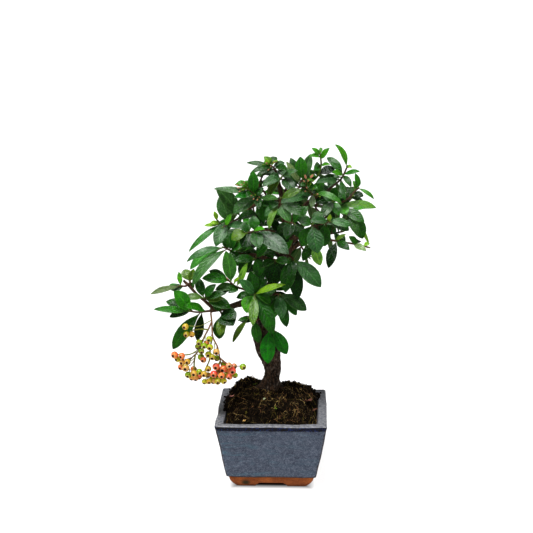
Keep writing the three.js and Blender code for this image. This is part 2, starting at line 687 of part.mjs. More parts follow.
    path: [[62, 284, 43], [72, 290, 45], [80, 298, 43]],
  },
  {
    name: 'back_right_side', branch: 'back_right', ruled: 5,
    path: [[50, 262, 27], [62, 262, 27], [72, 264, 24]],
  },
  {
    name: 'back_right_low', branch: 'back_right', ruled: 5,
    path: [[28, 252, 22], [32, 244, 26], [38, 236, 26]],
  },
  {
    name: 'back_top_end', branch: 'back_top', ruled: 5,
    path: [[18, 321, 29], [26, 328, 30], [36, 330, 29]],
  },
  {
    name: 'back_top_side', branch: 'back_top', ruled: 4,
    path: [[22, 306, 19], [36, 308, 22], [48, 306, 24]],
  },
  {
    name: 'inner_right', branch: 'right', ruled: 4,
    path: [[44, 290, 11], [50, 300, 16], [60, 308, 19]],
  },
  {
    name: 'inner_left', branch: 'left_high', ruled: 4,
    path: [[-8, 304, 10], [-14, 312, 11], [-10, 322, 10]],
  },
];

// Outline of the crown in front elevation, which the leaves placed by the rule stay inside.
const CROWN = [
  [-46, 300], [-30, 312], [-14, 322], [4, 332], [34, 339], [52, 336], [66, 326], [84, 318], [92, 300],
  [90, 276], [76, 264], [56, 240], [40, 220], [22, 196], [4, 196], [-14, 214], [-28, 226], [-42, 246],
  [-30, 262], [-40, 284],
];

function insideCrown(x, z) {
  let inside = false;
  for (let i = 0, j = CROWN.length - 1; i < CROWN.length; j = i, i += 1) {
    const [xi, zi] = CROWN[i];
    const [xj, zj] = CROWN[j];
    if ((zi > z) !== (zj > z) && x < ((xj - xi) * (z - zi)) / (zj - zi) + xi) inside = !inside;
  }
  return inside;
}

// Where a point in space shows in front elevation.
function seenAt(point) {
  const k = -EYE.y / (point.y - EYE.y);
  return [EYE.x + (point.x - EYE.x) * k, EYE.z + (point.z - EYE.z) * k - ELEVATION_ZERO];
}

// The stem of a spray, from the bark of its branch. Next to the branch's end it carries on from it.
function makeStem(spray, limbs) {
  const branch = limbs[spray.branch];
  const path = spray.path.map(front);
  let t = 0;
  for (let i = 0; i <= 60; i += 1) {
    const here = branch.pointAt(i / 60).distanceTo(path[0]);
    if (here < branch.pointAt(t).distanceTo(path[0])) t = i / 60;
  }
  const axis = branch.pointAt(t);
  const atEnd = t > 0.98;
  const away = atEnd ? branch.directionAt(1) : path[0].clone().sub(axis).normalize();
  const start = axis.addScaledVector(away, atEnd ? END_GAP : branch.radiusAt(t) + SEAT_GAP);
  return makeLimb([start, ...path], TWIG_RADII, TWIG_STEP);
}

// Leaves

// Half the width of a blade along its length, as a share of its greatest half width.
const OUTLINE = [[0, 0.1], [0.2, 0.36], [0.46, 0.92], [0.76, 1], [1, 0]];

function spreadAt(s) {
  for (let i = 1; i < OUTLINE.length; i += 1) {
    if (s <= OUTLINE[i][0]) {
      const [s0, w0] = OUTLINE[i - 1];
      const [s1, w1] = OUTLINE[i];
      return mix(w0, w1, (s - s0) / (s1 - s0));
    }
  }
  return 0;
}

function makeLeaf(base, tip, width, bow, roll, facing) {
  const axis = tip.clone().sub(base);
  const length = axis.length();
  axis.normalize();
  const normal = facing.clone().addScaledVector(axis, -facing.dot(axis)).normalize();
  normal.applyAxisAngle(axis, THREE.MathUtils.degToRad(roll));
  const side = new THREE.Vector3().crossVectors(normal, axis);
  return { base, axis, normal, side, length, half: width / 2, bow };
}

function leafPoint(leaf, s, across) {
  const half = leaf.half * spreadAt(s);
  const lift = leaf.bow * 4 * s * (1 - s) + LEAF_FOLD * half * Math.abs(across);
  return leaf.base.clone()
    .addScaledVector(leaf.axis, leaf.length * s)
    .addScaledVector(leaf.side, half * across)
    .addScaledVector(leaf.normal, lift);
}

function leafGeometry(leaf) {
  const narrow = leaf.half < NARROW_HALF_WIDTH;
  const rings = [];
  for (const [s, share] of OUTLINE) {
    if (s === 1) {
      rings.push([leafPoint(leaf, 1, 0)]);
    } else if (s === 0 || leaf.bow >= ARCHED_BOW || (s !== 0.2 && !(narrow && s === 0.46))) {
      const half = Math.max(leaf.half * share, PETIOLE_HALF_WIDTH);
      const middle = leafPoint(leaf, s, 0);
      const lift = LEAF_FOLD * (half - PETIOLE_HALF_WIDTH);
      const edge = (sign) => middle.clone()
        .addScaledVector(leaf.side, sign * half)
        .addScaledVector(leaf.normal, lift);
      rings.push([
        edge(1),
        middle.clone().addScaledVector(leaf.normal, LEAF_THICKNESS / 2),
        edge(-1),
        middle.clone().addScaledVector(leaf.normal, -LEAF_THICKNESS / 2),
      ]);
    }
  }
  return loft(rings);
}

// Points over a blade, for the test that leaves stay clear of each other.
function leafSamples(leaf) {
  const points = [];
  for (const s of [0.2, 0.32, 0.44, 0.56, 0.68, 0.8, 0.9, 1]) {
    const row = s === 1 ? [0] : [-1, -0.5, 0, 0.5, 1];
    for (const across of row) points.push({ s, p: leafPoint(leaf, s, across) });
  }
  return points;
}

// Whether a point lies closer to a blade than a clearance.
function nearBlade(leaf, p, clearance) {
  const x = p.x - leaf.base.x;
  const y = p.y - leaf.base.y;
  const z = p.z - leaf.base.z;
  const s = (x * leaf.axis.x + y * leaf.axis.y + z * leaf.axis.z) / leaf.length;
  if (s < 0.02 || s > 1 + clearance / leaf.length) return false;
  const across = Math.abs(x * leaf.side.x + y * leaf.side.y + z * leaf.side.z);
  const within = Math.min(s, 1);
  if (across > leaf.half * spreadAt(within) + clearance) return false;
  const rise = x * leaf.normal.x + y * leaf.normal.y + z * leaf.normal.z;
  const surface = leaf.bow * 4 * within * (1 - within) + LEAF_FOLD * Math.min(across, leaf.half);
  return Math.abs(rise - surface) < clearance;
}

function clashCount(leaf, samples, spray, placed, woodPoints) {
  const reach = leaf.length / 2;
  const centre = leaf.base.clone().addScaledVector(leaf.axis, reach);
  let clashes = 0;
  for (const other of placed) {
    const apart = centre.distanceTo(other.centre);
    if (apart > reach + other.reach + 6) continue;
    const same = other.spray === spray;
    const clearance = same ? SAME_TWIG_CLEARANCE : LEAF_CLEARANCE;
    const from = same ? 0.25 : 0;
    let touching = false;
    for (const { s, p } of samples) {
      if (s > from && nearBlade(other.leaf, p, clearance)) touching = true;
    }
    for (const { s, p } of other.samples) {
      if (s > from && nearBlade(leaf, p, clearance)) touching = true;
    }
    if (touching) clashes += same ? 1 : 10;
  }
  for (const { owner, p, radius } of woodPoints) {
    if (owner !== spray && centre.distanceTo(p) < reach + radius + 4) {
      if (nearBlade(leaf, p, radius + 1)) clashes += 10;
    }
  }
  return clashes;
}

function limbPoints(owner, limb) {
  const steps = Math.ceil(limb.length / 2.5);
  const points = [];
  for (let i = 0; i <= steps; i += 1) {
    points.push({ owner, p: limb.pointAt(i / steps), radius: limb.radiusAt(i / steps) });
  }
  return points;
}

// The drawn leaves face forwards and up. Where one would touch another, its tip swings in depth.
// Their widths are drawn as seen, a little foreshortened.
const DEPTH_SWINGS = [0, 5, -5, 10, -10, 15, -15, 20, -20];
const DRAWN_WIDENING = 1.1;
const FORWARD_AND_UP = new THREE.Vector3(0, -0.75, 0.65);

function drawnLeafChoices(stem, [t, x, z, y, width, bow, roll]) {
  const base = stem.pointAt(t);
  return DEPTH_SWINGS.map((swing) => (
    makeLeaf(base, front([x, z, y + swing]), DRAWN_WIDENING * width, bow, roll, FORWARD_AND_UP)
  ));
}

// The leaves placed by rule stand round the stem at the golden angle and face up and outwards.
const GOLDEN_ANGLE = 137.5;
const CROWN_MIDDLE = new THREE.Vector3(16, 6, 270);

function ruledLeafChoices(stem, number, total, draw) {
  const t = mix(0.25, 1, (number + 0.5) / total);
  const base = stem.pointAt(t);
  const along = stem.directionAt(t);
  const length = mix(24, 36, draw());
  const width = mix(9, 13, draw());
  const lean = THREE.MathUtils.degToRad(mix(45, 80, draw()));
  const across = new THREE.Vector3().crossVectors(along, UP).normalize();
  const choices = [];
  for (const turn of [0, 50, -50, 100, -100, 150]) {
    const angle = THREE.MathUtils.degToRad(number * GOLDEN_ANGLE + turn);
    const radial = across.clone().applyAxisAngle(along, angle);
    const direction = along.clone().multiplyScalar(Math.cos(lean)).addScaledVector(radial, Math.sin(lean));
    direction.z -= 0.15;
    const tip = base.clone().addScaledVector(direction.normalize(), length);
    const outwards = base.clone().sub(CROWN_MIDDLE).normalize();
    const facing = outwards.multiplyScalar(0.7).add(UP);
    const [x, z] = seenAt(tip);
    if (insideCrown(x, z)) choices.push(makeLeaf(base, tip, width, 2, 0, facing));
  }
  return choices;
}

function placeLeaves(sprays, stems, limbs, bunchPoints) {
  const placed = [];
  const woodPoints = [...bunchPoints];
  for (const [name, limb] of Object.entries(limbs)) woodPoints.push(...limbPoints(name, limb));
  for (const spray of sprays) woodPoints.push(...limbPoints(spray.name, stems[spray.name]));
  const place = (spray, choices, mustStay) => {
    let best = null;
    for (const leaf of choices) {
      const samples = leafSamples(leaf);
      const clashes = clashCount(leaf, samples, spray.name, placed, woodPoints);
      if (!best || clashes < best.clashes) best = { leaf, samples, clashes };
      if (clashes === 0) break;
    }
    if (best && (mustStay || best.clashes < 10)) {
      const reach = best.leaf.length / 2;
      const centre = best.leaf.base.clone().addScaledVector(best.leaf.axis, reach);
      placed.push({ spray: spray.name, leaf: best.leaf, samples: best.samples, centre, reach });
    }
  };
  for (const spray of sprays) {
    for (const row of spray.leaves ?? []) place(spray, drawnLeafChoices(stems[spray.name], row), true);
  }
  const draw = seededDraws(5);
  for (const spray of sprays) {
    for (let i = 0; i < (spray.ruled ?? 0); i += 1) {
      place(spray, ruledLeafChoices(stems[spray.name], i, spray.ruled, draw), false);
    }
  }
  return placed;
}

function makeSpray(spray, stem, placed) {
  const parts = [toSolid(limbGeometry(stem, TWIG_SIDES))];
  for (const item of placed) {
    if (item.spray === spray.name) parts.push(toSolid(leafGeometry(item.leaf)));
  }
  return joined(parts);
}

// Berries. Each stalk of the bunch is a path, and each berry is [x, z, y, diameter].

const BUNCH_STALKS = [
  [[-65, 175.4, -20.7], [-64, 165, -24], [-63.3, 150, -28], [-58.5, 139, -30], [-56.5, 129, -31],
    [-54.5, 118, -33]],
  [[-64.2, 166, -24], [-68, 157.5, -26], [-72, 150, -28], [-76, 140, -30], [-80, 132, -30],
    [-86, 126, -31], [-91, 118, -32], [-88, 112, -33]],
  [[-68, 157.5, -26], [-76, 158, -28], [-86, 156.5, -31]],
  [[-63.3, 150, -28], [-66, 138, -31], [-67, 124, -33], [-72, 112, -34], [-70, 106, -35]],
  [[-56, 126, -31], [-48, 119.5, -33], [-40, 114, -34]],
  [[-82, 130, -30], [-83.5, 118, -32], [-82, 108, -34]],
  [[-55.5, 123, -32], [-60, 110, -36], [-58, 105, -36]],
];

const BERRIES = [
  [-92, 160.5, -34, 7], [-91, 152, -36, 6.6], [-85.5, 152, -32, 6.6], [-77.5, 143, -36, 7],
  [-79, 138.5, -32, 6.6], [-72.5, 139.5, -36, 6.6], [-67, 147, -34, 6.6], [-66.5, 138, -36, 7],
  [-75.5, 133.5, -34, 6.4], [-76, 127, -36, 7], [-59.5, 133, -35, 7], [-68, 130, -37, 7],
  [-64, 127, -38, 6.6], [-59, 126, -36, 6.6], [-104, 129, -34, 7.6], [-96.5, 128, -36, 7],
  [-101, 124.5, -38, 6.4], [-96, 121, -38, 6.6], [-90.5, 121.5, -37, 6.6], [-97.5, 115.5, -34, 6.6],
  [-92.5, 114.5, -40, 7.6], [-90, 107, -34, 7], [-84, 108.5, -41, 7.4], [-82, 103.5, -38, 6.6],
  [-78, 110.5, -38, 6.6], [-73, 108, -41, 7], [-69, 107, -38, 6.2], [-68.5, 114, -38, 6.4],
  [-72.5, 99.5, -32, 6], [-68, 100, -39, 6.4], [-64.5, 102.5, -34, 6.4], [-60, 116.5, -41, 7.8],
  [-62.5, 108, -43, 7.8], [-57, 111.5, -36, 6.6], [-52.5, 114, -41, 7.8], [-54.5, 106.5, -42, 7],
  [-58, 102.5, -37, 6.4], [-58.5, 99.5, -42, 6.4], [-52, 100.5, -38, 6.6], [-43, 112, -41, 8.2],
  [-46, 105.5, -38, 6.8], [-41, 117, -34, 6.6], [-37.5, 113, -37, 6.4], [-31.5, 116.5, -36, 7],
];

// A berry and the stalk that it hangs from, in one loft from the stalk's root.
function berryGeometry({ centre, radius, root, facing }) {
  const across = new THREE.Vector3().crossVectors(facing, new THREE.Vector3(0, 1, 0)).normalize();
  const third = new THREE.Vector3().crossVectors(facing, across);
  const ring = (middle, width) => {
    const points = [];
    for (let j = 0; j < BERRY_SIDES; j += 1) {
      const angle = (j / BERRY_SIDES) * 2 * Math.PI;
      points.push(middle.clone()
        .addScaledVector(across, width * Math.cos(angle))
        .addScaledVector(third, width * Math.sin(angle)));
    }
    return points;
  };
  const at = (height) => centre.clone().addScaledVector(facing, height * radius);
  return loft([
    ring(root, STALK_RADIUS),
    ring(at(-0.9), STALK_RADIUS),
    ring(at(-0.45), 0.95 * radius),
    ring(at(0.5), 0.95 * radius),
    [at(0.85)],
  ]);
}

function gapToLine(point, start, end) {
  const nearest = new THREE.Line3(start, end).closestPointToPoint(point, true, new THREE.Vector3());
  return nearest.distanceTo(point);
}

// Each berry hangs from a place near it, on a stalk above it, that no other berry hangs from. It
// moves in depth until it and its own stalk stand clear of the other berries and their stalks.
function placeBerries(stalks) {
  const berries = [];
  const roots = [];
  for (const stalk of stalks) {
    for (let i = 3; i <= 20; i += 1) roots.push(stalk.pointAt(i / 20));
  }
  for (const [x, z, y, diameter] of BERRIES) {
    const radius = diameter / 2;
    const isClear = (centre, root) => berries.every((other) => (
      centre.distanceTo(other.centre) > radius + other.radius + 0.2
      && gapToLine(centre, other.root, other.centre) > radius + STALK_RADIUS
      && gapToLine(other.centre, root, centre) > other.radius + STALK_RADIUS
    )) && roots.every((point) => point.distanceTo(centre) > radius + 1);
    const places = [];
    for (const swing of BERRY_SWINGS) {
      const centre = front([x, z, y + swing]);
      const cost = (root) => root.distanceTo(centre) + 4 * Math.max(centre.z + 3 - root.z, 0);
      roots.sort((a, b) => cost(a) - cost(b));
      for (const root of roots.slice(0, 6)) places.push({ centre, root });
    }
    const place = places.find(({ centre, root }) => isClear(centre, root));
    if (!place) continue;
    roots.splice(roots.indexOf(place.root), 1);
    const facing = place.centre.clone().sub(place.root).normalize();
    facing.add(new THREE.Vector3(0, -0.5, -0.2)).normalize();
    berries.push({ ...place, radius, facing });
  }
  return berries;
}

function makeBunch(stalks, berries) {
  return joined([
    ...stalks.map((stalk) => toSolid(limbGeometry(stalk, TWIG_SIDES))),
    ...berries.map((berry) => toSolid(berryGeometry(berry))),
  ]);
}

// Assembly

const FINISH = {
  pot: { color: 0x4b5566, roughness: 0.35, metalness: 0 },
  soil: { color: 0x2e2318, roughness: 1, metalness: 0 },
  bark: { color: 0x352a20, roughness: 0.9, metalness: 0 },
  leaf: { color: 0x2a5a1c, roughness: 0.4, metalness: 0 },
  berry: { color: 0xc8502a, roughness: 0.35, metalness: 0 },
};

const bonsai = new THREE.Group();
bonsai.position.set(-MIDDLE[0], -MIDDLE[1], 0);

function addPiece(name, solid, finish) {
  const mesh = new THREE.Mesh(toGeometry(solid), new THREE.MeshStandardMaterial(FINISH[finish]));
  mesh.name = name;
  bonsai.add(mesh);
}

const limbs = makeBranches();
const stems = {};
for (const spray of SPRAYS) stems[spray.name] = makeStem(spray, limbs);
const bunchStalks = BUNCH_STALKS.map((path) => makeLimb(path.map(front), TWIG_RADII, TWIG_STEP));
const berries = placeBerries(bunchStalks);
const bunchPoints = [
  ...bunchStalks.flatMap((stalk) => limbPoints('berry_bunch', stalk)),
  ...berries.map(({ centre, radius }) => ({ owner: 'berry_bunch', p: centre, radius })),
];
const placedLeaves = placeLeaves(SPRAYS, stems, limbs, bunchPoints);

addPiece('pot', makePot(), 'pot');
addPiece('soil', makeSoil(), 'soil');
addPiece('trunk', makeWood(limbs), 'bark');
for (const spray of SPRAYS) {
  addPiece(`spray_${spray.name}`, makeSpray(spray, stems[spray.name], placedLeaves), 'leaf');
}
addPiece('berry_bunch', makeBunch(bunchStalks, berries), 'berry');

export default bonsai;
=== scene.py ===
import math
import random
from collections import namedtuple
from contextlib import contextmanager

import bmesh
import bpy
import numpy as np
from mathutils import Matrix, Quaternion, Vector, kdtree, noise


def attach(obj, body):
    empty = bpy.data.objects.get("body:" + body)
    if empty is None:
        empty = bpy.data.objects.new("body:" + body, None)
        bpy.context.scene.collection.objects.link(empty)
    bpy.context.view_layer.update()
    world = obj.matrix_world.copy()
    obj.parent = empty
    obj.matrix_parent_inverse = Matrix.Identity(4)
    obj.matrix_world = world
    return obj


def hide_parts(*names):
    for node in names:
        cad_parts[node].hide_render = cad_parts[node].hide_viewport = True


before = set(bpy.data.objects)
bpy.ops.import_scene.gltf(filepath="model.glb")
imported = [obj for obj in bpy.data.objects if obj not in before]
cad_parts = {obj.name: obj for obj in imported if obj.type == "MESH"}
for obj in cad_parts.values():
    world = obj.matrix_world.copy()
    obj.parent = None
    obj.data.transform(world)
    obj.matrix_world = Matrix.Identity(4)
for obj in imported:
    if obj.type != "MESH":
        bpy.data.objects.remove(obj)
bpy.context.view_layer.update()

# The bonsai is worked out in millimetres, as its parts' source is, and made in metres.
MM = 0.001

# The middle of the whole bonsai, seen from above, lies this far from the pot's middle.
MIDDLE = np.array([-6.9, 8.4, 0.0])

# The tree is drawn in front elevation. (x, z) is where a point shows on the upright plane through
# the pot's middle, to an eye in front of it, and y is its depth behind that plane.
ELEVATION_ZERO = 2.6
EYE = np.array([29.5, -1117.5, 495.8])
UP = np.array([0.0, 0.0, 1.0])

# Pot
RIM_WIDTH = 115
POT_HEIGHT = 74.3
RIM_BAND = 4
RIM_FLARE = 0.6
CORNER_ROUND = 0.045
WALL = 9
GLAZE_BOTTOM = 13.9
GLAZE_BOTTOM_WIDTH = 94
BAND_TOP_WIDTH = 90
BAND_BOTTOM_WIDTH = 87
CHAMFER_TOP = 8
FOOT_WIDTH = 75
FOOT_ROUND = 4
FOOT_BEVEL = 0.7
FLOOR_TOP = 15
FLOOR_WIDTH = 74
ARCH_WIDTH = 33
ARCH_HEIGHT = 5.5
ARCH_FOOT = 1
ARCH_SLOPE = 4
DRAIN_RADIUS = 5
CORNER_STEPS = 4
EDGE_STEPS = 22

# Soil
SEAT_GAP = 0.35
SOIL_EDGE = 72
SOIL_RISE = 18.5
SOIL_SIDE_DROP = 0.6
SOIL_BACK_START = 0.55
SOIL_BACK_DROP = 18
SOIL_FOOT_SHARE = 0.77
SOIL_CELLS = 160
CRUMBS = 2200
FIBRES = 950
FIBRE_STEPS = 5
TRUNK_FOOT = (-2, 15)
TRUNK_CLEARANCE = 9

# Wood and stems
BRANCH_STEP = 13
TWIG_RADII = (1.2, 0.85)
TWIG_STEP = 9
WOOD_VOXEL = 0.7
END_GAP = 0.45

# Leaves
LEAF_FOLD = 0.22
LEAF_CLEARANCE = 1.5
SAME_TWIG_CLEARANCE = 0.8
DRAWN_WIDENING = 1.1
BLADE_COLUMNS = 4
BLADE_THICKNESS = 0.4
BLADE_SLIMNESS = 0.92

# Berries
STALK_RADIUS = 0.45
BERRY_GAP = 0.2
BERRY_SWINGS = (0, 3, -3, 6, -6, 9, -9, 12)
BERRY_SLICES = 14
BERRY_STACKS = 10
SEPALS = 10

# Camera and stage
CAMERA_TILT = 13.42
CAMERA_TURN = 1.84
CAMERA_LENS = 74.7
STAGE_RADIUS = 4.0
STAGE_HEIGHT = 1.3
STAGE_STEPS = 12
VIEW_GAMMA = 0.9
VIEW_EXPOSURE = 0.34


def front(point):
    """Where a point of the front elevation lies in space."""
    x, z, y = point
    k = (y - EYE[1]) / -EYE[1]
    height = z + ELEVATION_ZERO
    return np.array([EYE[0] + (x - EYE[0]) * k, y, EYE[2] + (height - EYE[2]) * k])


def seen_at(point):
    """Where a point in space shows in front elevation."""
    k = -EYE[1] / (point[1] - EYE[1])
    x, z = EYE[0] + (point[0] - EYE[0]) * k, EYE[2] + (point[2] - EYE[2]) * k
    return x, z - ELEVATION_ZERO


def seeded_draws(seed):
    """Draws between 0 and 1, the same as in the part's source."""
    state = seed
    while True:
        state = (state * 1664525 + 1013904223) % 4294967296
        yield state / 4294967296


def mix(a, b, t):
    return a + (b - a) * t


def unit(v):
    return v / np.linalg.norm(v)


def turned(v, axis, degrees):
    """A vector turned about an axis."""
    angle = math.radians(degrees)
    across = np.cross(axis, v)
    along = axis * np.dot(axis, v) * (1 - math.cos(angle))
    return v * math.cos(angle) + across * math.sin(angle) + along


class Limb:
    """A limb or stem through points, in straight steps: its middle line and its radius."""

    def __init__(self, points, radii, step_length):
        self.points = [np.asarray(p, float) for p in points]
        self.radii = radii
        fine = np.array([self.curve(i / 200) for i in range(201)])
        self.length = float(np.linalg.norm(np.diff(fine, axis=0), axis=1).sum())
        self.steps = max(2, math.floor(self.length / step_length + 0.5))
        self.middles = [self.curve(i / self.steps) for i in range(self.steps + 1)]

    def curve(self, t):
        """The smooth line through the points."""
        points = self.points
        last = len(points) - 1
        i = min(math.floor(last * t), last - 1)
        w = last * t - i
        p1, p2 = points[i], points[i + 1]
        p0 = points[i - 1] if i > 0 else 2 * p1 - p2
        p3 = points[i + 2] if i + 2 <= last else 2 * p2 - p1
        t1, t2 = (p2 - p0) / 2, (p3 - p1) / 2
        c2 = 3 * (p2 - p1) - 2 * t1 - t2
        c3 = 2 * (p1 - p2) + t1 + t2
        return p1 + w * (t1 + w * (c2 + w * c3))

    def step_at(self, t):
        return min(math.floor(t * self.steps), self.steps - 1)

    def point_at(self, t):
        i = self.step_at(t)
        return mix(self.middles[i], self.middles[i + 1], t * self.steps - i)

    def direction_at(self, t):
        i = self.step_at(t)
        return unit(self.middles[i + 1] - self.middles[i])

    def radius_at(self, t):
        place = t * (len(self.radii) - 1)
        i = min(math.floor(place), len(self.radii) - 2)
        return mix(self.radii[i], self.radii[i + 1], place - i)

    def smooth(self, step):
        """Middles and radii along the smooth line, in steps of about the given length."""
        count = max(3, round(self.length / step))
        ts = [i / count for i in range(count + 1)]
        return [self.curve(t) for t in ts], [self.radius_at(t) for t in ts]


def drawn_limb(path, radii, step):
    """A limb through points of the front elevation."""
    return Limb([front(p) for p in path], radii, step)


# Branches and trunk. Each point is (x, z, y) in front elevation, and the radii follow the points.
LIMBS = {
    "stump": (((-3, 120, 9), (1, 129, 7), (3.5, 137.5, 5)), (6, 5.6, 4.6)),
    "cascade": ((
        (-8, 181, 3), (-20, 190, 0), (-34, 186, -6), (-45, 182.5, -12), (-56, 180, -17),
        (-66, 178, -20),
    ), (4.4, 2.1)),
    "shoot": ((
        (-60, 178.5, -18.5), (-69, 187, -20), (-79, 195.5, -20), (-86, 203.5, -20), (-93.5, 211, -20),
    ), (2, 1.5)),
    "left_low": (((-4, 197, 3), (-12, 200, -8), (-20, 199, -13), (-34, 203, -16)), (2.6, 1.3)),
    "left_middle": ((
        (8, 231, 3), (-2, 233, -2), (-16, 238, -7), (-30, 239, -11), (-40, 241, -13),
    ), (3, 1.4)),
    "left_high": (((10, 296, 5), (-6, 296, 5), (-22, 289, 2), (-32, 280, -2)), (2.4, 1.3)),
    "right_low": (((14, 242, 3), (30, 252, 0), (45, 257, -2), (60, 255, -2)), (2.8, 1.3)),
    "right": (((16, 257, 3), (32, 271, 4), (48, 282, 7), (62, 290, 11), (73, 296, 14)), (3, 1.5)),
    "right_high": (((14.5, 273, 4), (28, 287, 2), (42, 299, 0), (52, 304, 4)), (2.8, 1.4)),
    "crown_right": (((12, 287, 5), (24, 302, 7), (37, 314, 8)), (2.3, 1.3)),
    "crown_left": (((12, 286, 4), (0, 295, -8), (-12, 299, -14)), (2.3, 1.3)),
    "front_left": (((15.5, 256, 2), (4, 262, -14), (-8, 265, -25), (-17, 264, -31)), (2.4, 1.3)),
    "front_middle": (((15, 266, 2), (12, 272, -12), (9, 281, -24), (7, 288, -31)), (2.2, 1.2)),
    "front_right": (((16, 252, 3), (27, 260, -12), (38, 267, -24), (50, 272, -31)), (2.4, 1.2)),
    "back_middle": (((15, 266, 4), (20, 276, 18), (26, 287, 32)), (2.6, 1.4)),
    "back_left": (((9, 234, 4), (-2, 248, 16), (-10, 262, 29), (-14, 274, 38)), (2.7, 1.3)),
    "back_right": (((16, 250, 4), (30, 260, 16), (44, 270, 29), (56, 280, 38)), (2.7, 1.3)),
    "back_top": (((11, 294, 4), (13, 306, 14), (16, 315, 25)), (2, 1.2)),
    "trunk": ((
        (-1.6, 64, 15), (-1.6, 90, 15), (-1, 98.5, 14), (-0.6, 108, 12), (-1, 118, 10), (-5, 129, 8),
        (-9, 139, 6), (-12.4, 150, 4), (-12.5, 165, 3), (-8, 181, 3), (-4, 195, 3), (1.5, 213, 3),
        (9, 232, 3), (16, 247, 3), (16, 263, 3), (13.5, 279, 4), (10, 297, 5), (6, 314, 4), (3, 326, 2),
    ), (
        12.9, 12.6, 9.2, 7.9, 8, 9, 9.3, 8.8, 7.6, 6.6, 6, 5.6, 5.2, 4.7, 4.2, 3.6, 2.9, 2.2, 1.3,
    )),
}

# Leafy sprays. Each stem starts on the bark of its branch and follows the path. A leaf is
# (place along the stem, tip x, tip z, tip y, width, tone, bow, roll): bow is how far its middle
# arches up, and roll turns its face about its own length, in degrees. The last three may be left
# out. "small" has leaves that the solids leave out. A bud is (place along the stem, tip x, tip z,
# tip y, length, tone). "ruled" is how many leaves a rule places round a stem with none drawn.
Spray = namedtuple("Spray", "name branch path leaves small buds ruled", defaults=((), (), (), 0))

